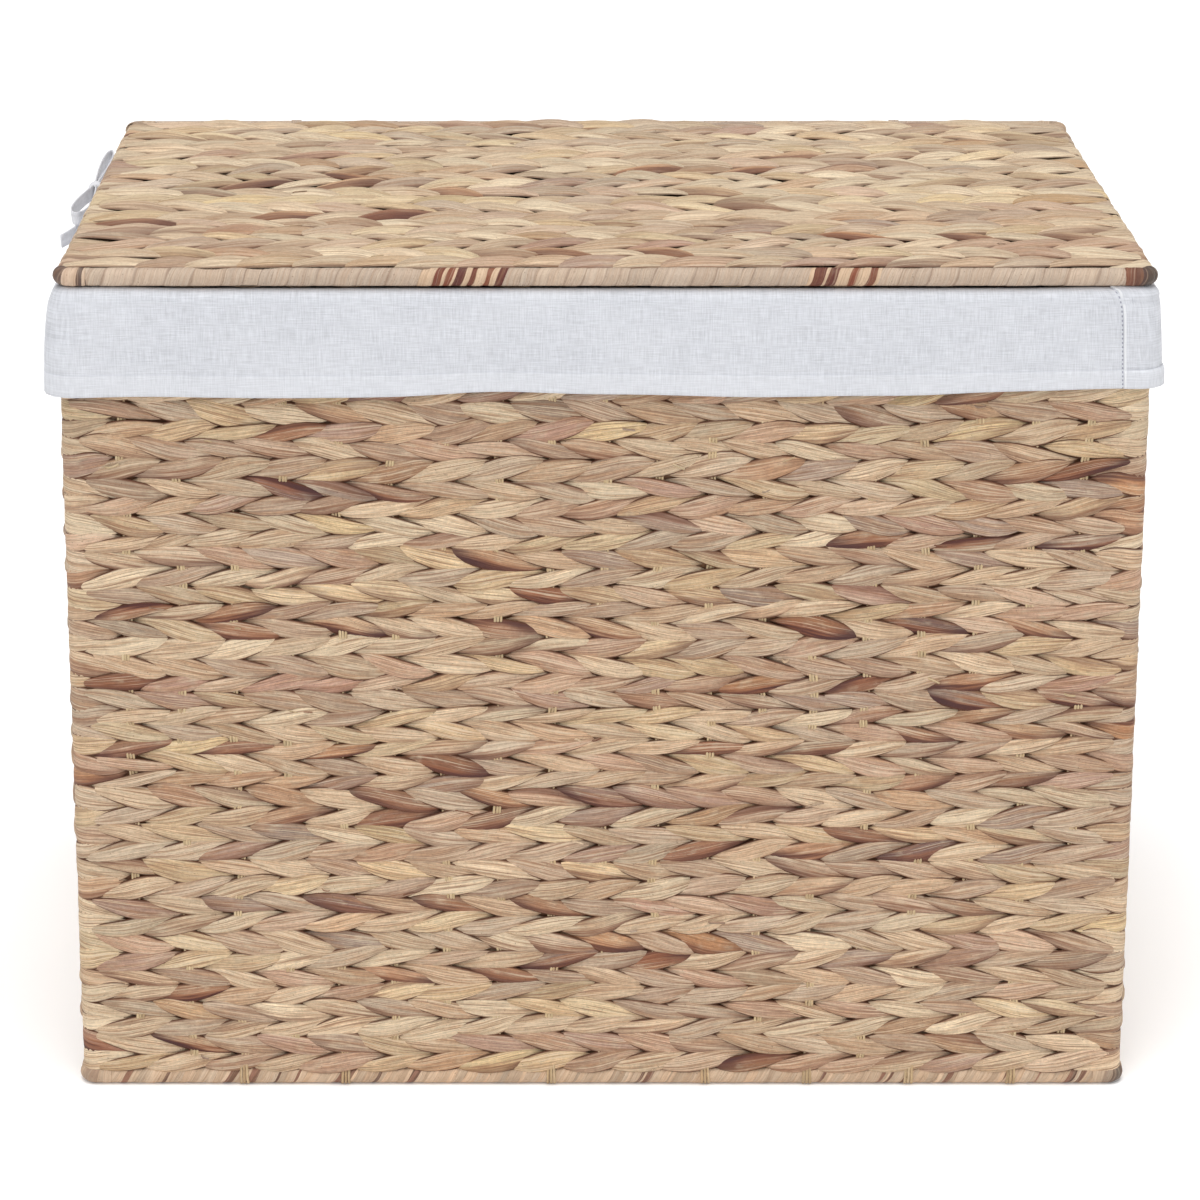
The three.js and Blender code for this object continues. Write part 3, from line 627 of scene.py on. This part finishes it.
def band(pile, centres, towards, half_width, half_thick, tone, seed, power=1.0, sides=8, ends=True):
    """A band along centres, closed at both ends or else running into itself. towards is near its sideways
    direction. power above 1 gives a rounder section and below 1 a squarer one."""
    if ends:
        first = centres[0] + (centres[0] - centres[1]) * 0.02
        last = centres[-1] + (centres[-1] - centres[-2]) * 0.02
        centres = np.concatenate([[first], centres, [last]])
    towards = np.asarray(towards, float)
    tangent = np.gradient(centres, axis=0)
    tangent /= np.linalg.norm(tangent, axis=1, keepdims=True)
    side = towards - tangent * np.sum(tangent * towards, axis=1, keepdims=True)
    side /= np.linalg.norm(side, axis=1, keepdims=True)
    out = np.cross(side, tangent)
    angle = np.arange(sides) / sides * 2 * pi + pi / sides
    u = np.sign(np.cos(angle)) * np.abs(np.cos(angle)) ** power
    v = np.sign(np.sin(angle)) * np.abs(np.sin(angle)) ** power
    size = np.ones((len(centres), 1, 1))
    if ends:
        size[[0, -1]] = 0.02
    width = side[:, None] * (u * half_width)[:, None] * size
    thickness = out[:, None] * (v * half_thick)[:, None] * size
    along = run_length(centres)[:, None]
    fibre = triples(along, u * half_width / 4.5, seed)
    form = triples(u * 0.8, 0.8 + 0 * along, 0.0)
    pile.add(centres[:, None] + width + thickness, fibre, form, tone, round_cols=True)


def stake_pieces(material):
    """The stakes: pale threads side by side, which bulge out between some of the courses. Ties go over the
    foot's border, in front as in the photograph and elsewhere at every second stake."""
    rng = default_rng(41)
    line, whole = wall_stakes()
    middles, halves = wall_courses()
    levels = (middles + halves)[:-1]
    coarse = np.linspace(WALL_BOTTOM + 0.5, WALL_TOP - 0.5, 23)
    for side, name in enumerate(SIDES):
        pile = Pile()
        places = [s for s in line if CORNER_AT[side] + 1 < s < CORNER_AT[side + 1] - 1]
        ties = len(places) // 2 + np.array(FRONT_TIES) if name == "front" else np.arange(0, len(places), 2)
        for i, s in enumerate(places):
            shown = levels[rng.random(len(levels)) < 0.3]
            shown = shown + drift(s, shown, whole, *WALL_WANDER)[1]
            fine = (shown[:, None] + np.linspace(-3.6, 3.6, 9)).ravel()
            z = np.unique(np.clip(np.r_[coarse, fine], coarse[0], coarse[-1]))
            swell = rng.uniform(0.6, 2.3, len(shown))
            bulge = (swell * np.exp(-(((z[:, None] - shown) / 2.2) ** 2))).sum(axis=1).clip(0, 2.3)
            along, _ = drift(s, z, whole, *WALL_WANDER)
            for thread in THREADS:
                tone = PALE * rng.uniform(0.88, 1.05)
                wander = np.interp(z, coarse, rng.normal(0, 0.12, len(coarse)))
                centres = ring_place(s + thread * THREAD_PITCH + wander + along, z, 2.4 + bulge)
                band(pile, centres, sideways_at(s), THREAD_R, THREAD_R, tone, rng.random(), sides=6)
            if i in ties:
                tie(pile, s, rng)
        pile.make(f"stakes_{name}_threads", material, [f"stakes_{name}"])
    pile = Pile()
    y = np.linspace(-PANEL_EDGE + 0.6, PANEL_EDGE - 0.6, 21)
    for x in centred(LONG_STAKES, LONG_PITCH):
        for thread in THREADS:
            tone = PALE * rng.uniform(0.88, 1.05)
            across, up = rng.normal(0, 0.12, len(y)), rng.normal(0, 0.1, len(y))
            centres = triples(x + thread * THREAD_PITCH + across, y, LID_Z + 0.2 + up)
            band(pile, centres, (1, 0, 0), THREAD_R, THREAD_R + 0.6, tone, rng.random(), sides=6)
    pile.make("lid_stakes_threads", material, ["lid_stakes"])


def tie(pile, s, rng):
    """Three threads that come out below the lowest course and go down over the foot's border."""
    top, over = 15.5, 5.35
    slant = rng.normal(0, 0.6)
    turn = np.radians(np.linspace(44.5, -78, 8))
    d = np.r_[3.6, 4.3, over * np.cos(turn)]
    z = np.maximum(np.r_[top, 12.5, BASE_Z + over * np.sin(turn)], 0.6)
    fall = (top - z) / 15
    for thread in THREADS:
        centres = ring_place(s + thread * (1.5 + 0.5 * fall) + slant * fall, z, d)
        tone = linear(204, 176, 136) * rng.uniform(0.86, 1.04)
        band(pile, centres, sideways_at(s), 0.85, 0.45, tone, rng.random(), sides=6)


def hinge_pieces(material):
    """The two hinge loops: a strand wound four times round the lid's rear border and the rim."""
    rng = default_rng(43)
    turns, breadth, radius, half = 4, 6.0, BORDER_R + 0.3, (LID_Z - RIM_Z) / 2
    at = np.linspace(0, turns * (2 * pi * radius + 4 * half), 30 * turns + 1)
    z, y = loop_place(half + at, half, radius, radius)
    for name, x in (("hinge_loop_left", -HINGE_X), ("hinge_loop_right", HINGE_X)):
        centres = triples(x + (at / at[-1] - 0.5) * breadth, LINE_Y + y, RIM_Z + half + z)
        pile = Pile()
        band(pile, centres, (1, 0, 0), 0.98, 0.32, LID_BORDER_TONE * 0.9, rng.random())
        pile.make(f"{name}_wound", material, [name])


# The bow of tape

def loop_path(direction, reach, bulge):
    """A loop of the bow: out along the cuff and back, wider apart in the middle than at its tip."""
    t = np.linspace(0, 1, 41)
    y = direction * (KNOT_R + 0.3) + direction * reach * np.sin(pi * t)
    apart = 0.9 * np.cos(pi * t) + bulge * np.sin(2 * pi * t)
    x = -(KNOT_OUT + (bulge - 1.6) * np.sin(pi * t) + apart)
    return BOW + triples(x, y, 0.0)


def tail_paths():
    """The end that lies along the cuff towards the front, and the one that hangs down."""
    t = np.linspace(0, 1, 25)
    x = TAIL_TUCK * np.minimum(1, 6 * t) - TAIL_TIP * t**3 - KNOT_OUT
    front = triples(x, -KNOT_R - 0.3 - TAIL_REACH * t, -TAPE_WIDTH - 0.3)
    x = -KNOT_OUT - 1.5 * np.sin(2 * t)
    back = triples(x, TAPE_WIDTH / 2 + 10 * t * t, -KNOT_DROP - 0.3 - TAIL_FALL * t)
    return BOW + front, BOW + back


def bow_pieces(material):
    """The tape's loops and tails, each a flat band, and the knot between them."""
    tone = linear(223, 223, 227)
    knot = knot_piece(material, tone)
    slack = (-sin(TAPE_TILT), 0, cos(TAPE_TILT))
    tail_front, tail_back = tail_paths()
    cords = (
        ("tape_loop_front", loop_path(-1, *LOOP_FRONT), slack, "knot"),
        ("tape_loop_back", loop_path(1, *LOOP_BACK), slack, "knot"),
        ("tape_tail_front", tail_front, slack, "bare"),
        ("tape_tail_back", tail_back, (0, 1, 0), "bare"),
    )
    for name, path, towards, far_end in cords:
        pile = Pile()
        band(pile, path, towards, TAPE_WIDTH / 2, TAPE_THICK / 2, tone, 0.5, power=0.35, sides=16)
        piece = pile.make(f"{name}_cloth", material, [name])


def knot_piece(material, tone):
    """The knot: the tape passes twice over its own loops, as two crossed turns round a rounded core."""
    pile = Pile()
    centre = BOW + np.array([-KNOT_OUT, 0, -TAPE_WIDTH / 2])
    angle = np.linspace(0, 2 * pi, 33)
    for lean, wide, reach in ((0.26, 3.9, 7.7), (-0.4, 3.1, 8.4)):
        x, z = 0.6 * reach * np.cos(angle), reach * np.sin(angle)
        centres = centre + triples(x, z * sin(lean), z * cos(lean))
        towards = (0, cos(lean), -sin(lean))
        band(pile, centres, towards, wide, 0.8, tone * 0.98, 0.3, power=0.6, sides=12, ends=False)
    rise = np.linspace(-1, 1, 17)[:, None]
    round_off = np.clip(1 - np.abs(rise) ** 2.6, 0.001, 1) ** 0.5
    ring = np.arange(12) / 12 * 2 * pi
    deep, wide, tall = KNOT_R - 2.2, KNOT_R - 1.2, KNOT_DROP - TAPE_WIDTH / 2 - 1.4
    core = triples(deep * round_off * np.cos(ring), wide * round_off * np.sin(ring), tall * rise)
    fibre = triples(tall * rise, np.cos(ring), 0.3)
    pile.add(centre + core, fibre, np.array([0.0, 0.8, 0.0]), tone, round_cols=True)
    return pile.make("tape_knot_tied", material, ["tape_knot"])


# The liner: its cuff over the rim, and the bag inside

def cuff_profile():
    """Points (d, z) of the cuff's middle surface, from its inner edge over the rim to the hem, and how low
    each hangs outside. On top of the rim that is below nought."""
    middle = CUFF_TURN + CUFF_SHEET
    angles = np.linspace(pi, 0, 13)
    above_hem = np.linspace(0, HEM_TOP - 0.6, 13)[1:]
    hem = np.linspace(HEM_TOP + 1.5, CUFF_DROP, 7)
    outside = np.r_[above_hem, HEM_TOP - 0.1, HEM_TOP + 0.4, hem]
    inner = [(-middle, z) for z in np.linspace(RIM_Z - CUFF_TUCK, RIM_Z, 6)[:-1]]
    turn = [(middle * cos(a), RIM_Z + middle * sin(a)) for a in angles]
    outer = [(middle, RIM_Z - fall) for fall in outside]
    falls = np.r_[np.full(len(inner), -middle * pi), -middle * angles, outside]
    return np.array(inner + turn + outer), falls


def ease(value):
    """0 below 0, 1 above 1 and smooth between."""
    value = np.clip(value, 0, 1)
    return value * value * (3 - 2 * value)


def hill(s, middle, width):
    """A smooth hill of height 1 on the line round the basket."""
    away = np.mod(s - middle + RING_RUN / 2, RING_RUN) - RING_RUN / 2
    return np.exp(-((away / width) ** 2))


def ripple(s, seed, *waves):
    """A smooth wandering line round the basket: a few sines that close, each a length and a size."""
    total = 0
    for i, (length, size) in enumerate(waves):
        turns = max(1, round(RING_RUN / length))
        total = total + size * np.sin(2 * pi * turns * s / RING_RUN + seed * (i + 1.7))
    return total


def cuff_piece(material):
    """One band of cloth round the whole rim. Its ends overlap in a seam near the front right corner. form
    holds the distance from the upper end, how low the cloth hangs and the distance from the lower end."""
    front_middle, front_right = SIDE_RUNS[0] / 2, CORNER_AT[1]
    upper, lower = np.arange(0, 12, 0.5), np.arange(RING_RUN - 12, RING_RUN + SEAM_OVERLAP, 0.5)
    run = np.r_[upper, np.arange(12, RING_RUN - 12, 2.1), lower][:, None]
    s = front_middle + SEAM_X + run
    profile, falls = cuff_profile()
    d0, z0 = profile.T
    h = np.clip(falls / CUFF_DROP, 0, 1)

    # Outwards: the cloth flares, folds softly, is thicker at the hem and doubled at the seam
    flare = 2.0 * np.sin(h * pi / 2) + 0.4 * h
    uneven = 4.4 * hill(s, -34, 44) - 1.1 * hill(s, front_right + 40, 50)
    flare = flare + uneven * np.sin(h * pi / 2) ** 0.3
    broad = ripple(s, 2.1, (210, 0.55), (118, 0.4), (67, 0.25))
    folds = ripple(s, 5.3, (43, 0.22), (27, 0.12))
    d = d0 + (flare + broad * h + folds * np.sin(pi * h) ** 1.5)
    d = d + (0.25 + 1.2 * hill(s, front_right, 15)) * ease((falls - HEM_TOP) / 0.6)
    upper_end = 0.95 * (1 - ease((run - 3) / 26))
    d = d + np.where(h > 0, upper_end, -upper_end * (z0 < RIM_Z + 1))

    # Downwards: the hem droops and lifts, and the top sinks a little between the corners
    lifted = 2.6 * hill(s, front_middle - 57, 62) + 5.2 * hill(s, front_right, 95)
    lifted = lifted + 1.4 * hill(s, front_right + 190, 90)
    droop = ripple(s, 3.7, (560, 0.5), (240, 0.25), (90, 0.25)) - lifted
    from_corner = np.min(np.abs(np.mod(s, RING_RUN)[..., None] - CORNER_AT), axis=-1)
    low_top = 0.85 * ease((from_corner - 22) / 50) * np.clip((z0 - RIM_Z) / 5, 0, 1)
    z = z0 - droop * h**2 - low_top + upper_end * (z0 > RIM_Z + 3)

    # Along: the seam leans, and the threads of the weave wander
    from_seam = np.minimum(run, np.abs(RING_RUN - run))
    lean = (1.3 * h - 7.0 * np.exp(-np.maximum(falls + 8, 0) / 4.5)) * np.exp(-((from_seam / 16) ** 2))
    points = ring_place(s + lean + 0.4 * ripple(s, 7.7, (33, 1.0)) * h, z, d)

    down = run_length(profile)
    form = triples(np.minimum(run, 20), falls, np.minimum(RING_RUN - run, 20))
    pile = Pile()
    pile.add(points, triples(run, down, 0.0), form, linear(210, 212, 218))
    piece = pile.make("cuff_cloth", material, [f"cuff_{side}" for side in SIDES])
    cut_hinge_slots(piece)
    thicken(piece, 0.9)


def thicken(piece, thickness):
    """Gives a sheet of cloth its thickness, half on each side."""
    solid = piece.modifiers.new("thickness", "SOLIDIFY")
    solid.thickness = thickness * MM
    solid.offset = 0


def cut_hinge_slots(piece):
    """Opens the cuff where the hinge loops pass through it."""
    mesh = bmesh.new()
    mesh.from_mesh(piece.data)
    doomed = []
    for face in mesh.faces:
        x, y, z = face.calc_center_median() / MM
        if y > LINE_Y - 12 and z > RIM_Z - BORDER_R - 3.2 and abs(abs(x) - HINGE_X) < 5.6:
            doomed.append(face)
    bmesh.ops.delete(mesh, geom=doomed, context="FACES")
    mesh.to_mesh(piece.data)
    mesh.free()


def liner_piece(material):
    """The bag: four soft sides and a floor in one sheet, hung inside the rim."""
    steps = 420
    s = (np.arange(steps) * RING_RUN / steps)[:, None]
    top, floor, bend = RIM_Z - CUFF_TUCK - 0.4, WALL_BOTTOM + 0.6, 6
    foot = floor + bend * (1 - np.sin(np.linspace(0, 1, 6)[1:] * pi / 2))
    z = np.r_[np.linspace(top, floor + bend, 26), foot]
    up = (z - floor) / (top - floor)
    slack = np.sin(pi * np.clip(up, 0, 1)) ** 0.8
    fold = ripple(s, 4.4, (230, 1.0), (130, 0.9), (75, 0.6))
    fold = fold + ripple(s, 9.1, (52, 0.55)) * np.sin(up * 9 + 0.6)
    d = -6.2 - 1.6 * slack - 0.9 * slack * (1 + 0.4 * fold)
    d = d - 5.5 * (1 - np.cos(np.clip((floor + bend - z) / bend, 0, 1) * pi / 2))
    walls = ring_place(s, z, np.maximum(d, -14))

    share = np.linspace(1, 0, 26)[1:]
    middle = np.array([0, 0, floor])
    inner = middle + (walls[:, -1:, :] - middle) * share[:, None]
    waves = 0.5 * np.sin(inner[..., 0] / 61) * np.sin(inner[..., 1] / 47)
    inner[..., 2] = floor + waves * share * (1 - share) * 3 + 0.25
    down = np.r_[top - z, (top - floor) + (1 - share) * 250]
    points = np.concatenate([walls, inner], axis=1)
    pile = Pile()
    pile.add(points, triples(s, down, 0.0), np.zeros(3), linear(226, 228, 233), round_rows=True)
    piece = pile.make("liner_bag", material, [f"liner_{part}" for part in (*SIDES, "floor")])
    weld = piece.modifiers.new("weld", "WELD")
    weld.merge_threshold = 0.00005
    thicken(piece, 0.8)


# Materials

def rgba(red, green, blue):
    """A colour given as 0 to 255 in sRGB, as a colour socket takes it."""
    return (*linear(red, green, blue).tolist(), 1.0)


class Nodes:
    """A short way to write a node tree."""

    def __init__(self, name):
        self.material = bpy.data.materials.new(name)
        self.material.use_nodes = True
        self.tree = self.material.node_tree

    def feed(self, node, inputs):
        """Gives a node's inputs their values or links."""
        for key, value in inputs.items():
            if isinstance(value, bpy.types.NodeSocket):
                self.tree.links.new(value, node.inputs[key])
            else:
                node.inputs[key].default_value = value

    def finish(self, inputs):
        """The material, with the shader's inputs."""
        self.feed(self.tree.nodes["Principled BSDF"], inputs)
        return self.material

    def node(self, kind, output, inputs, **settings):
        """One output of a new node."""
        made = self.tree.nodes.new(kind)
        for key, value in settings.items():
            setattr(made, key, value)
        self.feed(made, inputs)
        return made.outputs[output]

    def attribute(self, name):
        return self.node("ShaderNodeAttribute", "Vector", {}, attribute_name=name)

    def parts(self, name):
        """The three values of an attribute."""
        made = self.tree.nodes.new("ShaderNodeSeparateXYZ")
        self.feed(made, {0: self.attribute(name)})
        return made.outputs

    def object_place(self):
        return self.node("ShaderNodeTexCoord", "Object", {})

    def math(self, operation, a, b=0.0):
        return self.node("ShaderNodeMath", 0, {0: a, 1: b}, operation=operation)

    def times(self, a, b):
        return self.math("MULTIPLY", a, b)

    def plus(self, a, b):
        return self.math("ADD", a, b)

    def minus(self, a, b):
        return self.math("SUBTRACT", a, b)

    def vector(self, x, y, z):
        return self.node("ShaderNodeCombineXYZ", 0, {0: x, 1: y, 2: z})

    def noise(self, place, scale=1.0, detail=2.0, roughness=0.5):
        inputs = {"Vector": place, "Scale": scale, "Detail": detail, "Roughness": roughness}
        return self.node("ShaderNodeTexNoise", "Fac", inputs)

    def grain(self, x, y, z, detail=2.0, roughness=0.5):
        """Noise at a place whose x and y are pairs to multiply, which draws it out."""
        return self.noise(self.vector(self.times(*x), self.times(*y), z), 1.0, detail, roughness)

    def remap(self, value, low, high, to_low=0.0, to_high=1.0, kind="SMOOTHSTEP"):
        inputs = {"Value": value, "From Min": low, "From Max": high, "To Min": to_low, "To Max": to_high}
        return self.node("ShaderNodeMapRange", "Result", inputs, interpolation_type=kind)

    def mix(self, share, a, b, blend="MIX"):
        return self.node("ShaderNodeMix", 2, {0: share, 6: a, 7: b}, data_type="RGBA", blend_type=blend)

    def tint(self, colour, *layers):
        """The colour under layers, each a share and a colour given as 0 to 255 in sRGB."""
        for share, tone in layers:
            colour = self.mix(share, colour, rgba(*tone))
        return colour

    def shade(self, colour, value, low, high, darkest, lightest):
        """The colour times a grey, which goes from darkest to lightest as value goes from low to high."""
        grey = self.remap(value, low, high, darkest, lightest, "LINEAR")
        return self.mix(1.0, colour, self.vector(grey, grey, grey), "MULTIPLY")

    def bump(self, height, distance, strength):
        inputs = {"Height": height, "Distance": distance, "Strength": strength}
        return self.node("ShaderNodeBump", "Normal", inputs)


def strand_material(name, contrast, edge_shade, fibres=14.0, streaks=2.4, stains=1.0):
    """Dried plant strand: its own colour with fibres along it, stains and specks, and painted shade at its
    edges and where it dips behind its neighbours.
    """
    n = Nodes(name)
    along, across, seed = n.parts("fibre")
    side, shown, stain = n.parts("form")
    own = n.times(seed, 317.0)
    fine = n.grain((along, 0.07), (across, fibres), own, 4, 0.68)
    broad = n.grain((along, 0.03), (across, streaks), n.plus(own, 41.0))
    blotch = n.grain((along, 0.11), (across, 1.1), n.plus(own, 77.0), 3)
    crinkle = n.grain((along, 0.5), (across, 2.6), n.plus(own, 5.0), 3, 0.7)
    lines = n.grain((along, 0.025), (across, fibres * 0.6), n.plus(own, 13.0))
    specks = n.noise(n.object_place(), scale=900, detail=1)

    # Stains spread in from one side of the leaf, brown and then nearly black, and darken one of its ends
    amount = n.times(n.math("ABSOLUTE", stain), stains)
    towards = n.times(n.math("SIGN", stain), n.times(across, -1.0))
    wavy = n.plus(towards, n.times(n.minus(broad, 0.5), 2.2))
    end = n.plus(n.times(along, n.math("SIGN", n.minus(seed, 0.5))), n.times(wavy, 9.0))

    colour = n.tint(
        n.attribute("tone"),
        (n.remap(broad, 0.42, 0.68, 0.0, 0.42 * contrast), (178, 132, 94)),
        (n.remap(blotch, 0.5, 0.75, 0.0, 0.3 * contrast), (222, 205, 176)),
    )
    colour = n.shade(colour, fine, 0.36, 0.64, 1 - 0.3 * contrast, 1 + 0.17 * contrast)
    colour = n.shade(colour, crinkle, 0.35, 0.65, 1 - 0.1 * contrast, 1 + 0.06 * contrast)
    colour = n.tint(
        colour,
        (n.remap(lines, 0.55, 0.63, 0.0, 0.55 * contrast), (146, 108, 82)),
        (n.remap(lines, 0.44, 0.35, 0.0, 0.45 * contrast), (232, 212, 184)),
        (n.times(amount, n.remap(wavy, -0.35, 0.55, 0.0, 0.8)), (158, 98, 66)),
        (n.times(amount, n.remap(wavy, 0.1, 0.8)), (84, 46, 42)),
        (n.times(amount, n.remap(end, 4.0, 22.0, 0.0, 0.9)), (78, 48, 48)),
        # Painted shade: the strand darkens towards its edges, where the grooves between leaves and between
        # bands would lie in shade
        (n.remap(n.math("ABSOLUTE", side), 0.79, 0.96, 0.0, edge_shade), (94, 56, 38)),
        # Painted shade: a leaf darkens where it has come out little, at the ends that dip behind its
        # neighbours, and so does the slab behind the weave, whose form is nought
        (n.remap(shown, 0.0, 0.3, 0.3, 0.0), (110, 68, 44)),
        (n.remap(specks, 0.7, 0.78, 0.0, 0.5), (96, 66, 48)),
    )
    roughness = n.remap(fine, 0.3, 0.7, 0.72, 0.5, "LINEAR")
    ridges = n.plus(n.times(broad, 1.4), n.times(fine, 0.6))
    normal = n.bump(n.plus(ridges, n.times(crinkle, 0.7 * contrast)), 0.0011, 0.75)
    looks = {"Base Color": colour, "Roughness": roughness, "Specular IOR Level": 0.3, "Normal": normal}
    return n.finish(looks)


def sewing(n, colour):
    """The cuff's hem, paler because the cloth is double there, and the seam with its row of stitches, drawn
    as dark dashes of painted shade in their needle holes.
    """
    from_upper, fall, from_lower = n.parts("form")
    hanging = n.remap(fall, -10.0, -9.0)
    row = n.remap(n.math("ABSOLUTE", n.minus(from_lower, 0.75)), 0.25, 0.5, 1.0, 0.0)
    stitch = n.remap(n.math("SINE", n.times(fall, 2 * pi / 2.6)), -0.1, 0.35)
    dash = n.times(n.times(row, stitch), hanging)
    return n.tint(
        colour,
        (n.remap(fall, HEM_TOP - 0.6, HEM_TOP + 0.8, 0.0, 0.22), (232, 233, 237)),
        (n.remap(n.math("ABSOLUTE", n.minus(fall, HEM_TOP - 0.2)), 0.0, 0.8, 0.22, 0.0), (186, 189, 200)),
        (n.times(hanging, n.remap(from_upper, 0.9, 1.8, 0.6, 0.0)), (240, 241, 243)),
        # The stitches are real, but their dark grey is painted shade in the needle holes
        (n.times(dash, 0.85), (136, 138, 152)),
    )


def cloth_material(name, pitch=0.62, twill=0.0, sewn=False):
    """Plain cotton weave: two sets of uneven threads, seen mostly as a fine grain."""
    n = Nodes(name)
    along, down, _ = n.parts("fibre")
    skew = n.plus(along, n.times(down, twill))
    warp = n.grain((skew, 1.5), (down, 0.09), 3.0, roughness=0.6)
    weft = n.grain((along, 0.09), (down, 1.5), 9.0, roughness=0.6)
    slubs = n.grain((along, 0.02), (down, 0.7), 5.0, 3)
    soft = n.grain((along, 0.02), (down, 0.03), 7.0)
    turn = 2 * pi / pitch
    threads = n.times(n.math("SINE", n.times(skew, turn)), n.math("SINE", n.times(down, turn)))
    grain = n.plus(n.plus(n.times(warp, 0.5), n.times(weft, 0.5)), n.times(threads, 0.05))
    colour = n.tint(
        n.shade(n.attribute("tone"), grain, 0.35, 0.65, 0.81, 1.13),
        (n.remap(slubs, 0.6, 0.75, 0.0, 0.25), (206, 206, 208)),
        (n.remap(soft, 0.35, 0.7, 0.0, 0.15), (232, 233, 237)),
    )
    looks = {
        "Base Color": sewing(n, colour) if sewn else colour,
        "Roughness": n.remap(grain, 0.35, 0.65, 0.98, 0.86, "LINEAR"),
        "Specular IOR Level": 0.2,
        "Sheen Weight": 0.25,
        "Normal": n.bump(grain, 0.0006, 0.7),
    }
    return n.finish(looks)


def wire_material():
    """Drawn wire with a thin dull finish, scuffed along its length."""
    n = Nodes("wire_finish")
    place = n.object_place()
    fine = n.noise(place, scale=420, detail=3)
    patch = n.noise(place, scale=38, detail=2)
    looks = {
        "Base Color": n.mix(n.remap(patch, 0.4, 0.7, 0.0, 0.6), rgba(116, 117, 120), rgba(84, 80, 78)),
        "Metallic": 0.85,
        "Roughness": n.remap(fine, 0.3, 0.7, 0.35, 0.6),
        "Normal": n.bump(fine, 0.0002, 0.5),
    }
    return n.finish(looks)


def dress_wires(material):
    """The wires stay as the CAD model has them, with the wire's finish."""
    names = ["base_wire_ring", "rim_wire_ring", "lid_wire_ring"]
    for name in names + [f"corner_post_{corner}" for corner in CORNERS]:
        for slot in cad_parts[name].material_slots:
            slot.material = material


# Floor and light

WHITE = (1.0, 1.0, 1.0, 1.0)


def make_stage():
    """A pale floor and soft, even studio light: a bright surround and three wide, distant lamps."""
    mesh = bpy.data.meshes.new("floor")
    far = 150.0
    mesh.from_pydata([(-far, -far, 0), (far, -far, 0), (far, far, 0), (-far, far, 0)], [], [(0, 1, 2, 3)])
    new_object("floor", mesh)
    n = Nodes("floor_paper")
    grain = n.noise(n.object_place(), scale=60, detail=3)
    looks = {
        "Base Color": n.mix(grain, rgba(250, 250, 250), rgba(253, 253, 253)),
        "Roughness": 0.9,
        "Specular IOR Level": 0.0,
        "Emission Color": WHITE,
        "Emission Strength": 0.1,
    }
    mesh.materials.append(n.finish(looks))
    world = bpy.data.worlds.new("studio")
    world.use_nodes = True
    background = world.node_tree.nodes["Background"]
    background.inputs["Color"].default_value = WHITE
    background.inputs["Strength"].default_value = 0.35
    bpy.context.scene.world = world
    lamps = (("key", -25, 50, 0.27), ("fill", 35, 25, 0.1), ("top", 10, 84, 0.6))
    for name, turn, height, brightness in lamps:
        data = bpy.data.lights.new(name, "SUN")
        data.angle = radians(40)
        data.energy = pi * brightness
        lamp = new_object(name, data)
        turn, height = radians(turn), radians(height)
        level = cos(height)
        towards = Vector((sin(turn) * level, -cos(turn) * level, sin(height)))
        lamp.location = towards * 3
        lamp.rotation_euler = towards.to_track_quat("Z", "Y").to_euler()
    bpy.context.scene.view_settings.view_transform = "Standard"


make_camera()
bow_pieces(cloth_material("tape_cotton", pitch=0.9, twill=0.6))
weave_strand = strand_material("weave_strand", 1.25, 1.0)
lid_strand = strand_material("lid_strand", 1.1, 0.7, stains=0.6)
border_strand = strand_material("border_strand", 0.4, 0.35, fibres=9.0, streaks=3.0)
stake_strand = strand_material("stake_strand", 0.6, 0.45, fibres=5.0, streaks=3.0)
wall_pieces(weave_strand)
panel_pieces(lid_strand, weave_strand)
border_pieces(border_strand)
stake_pieces(stake_strand)
hinge_pieces(border_strand)
cuff_piece(cloth_material("cuff_cotton", sewn=True))
liner_piece(cloth_material("liner_cotton"))
dress_wires(wire_material())
make_stage()
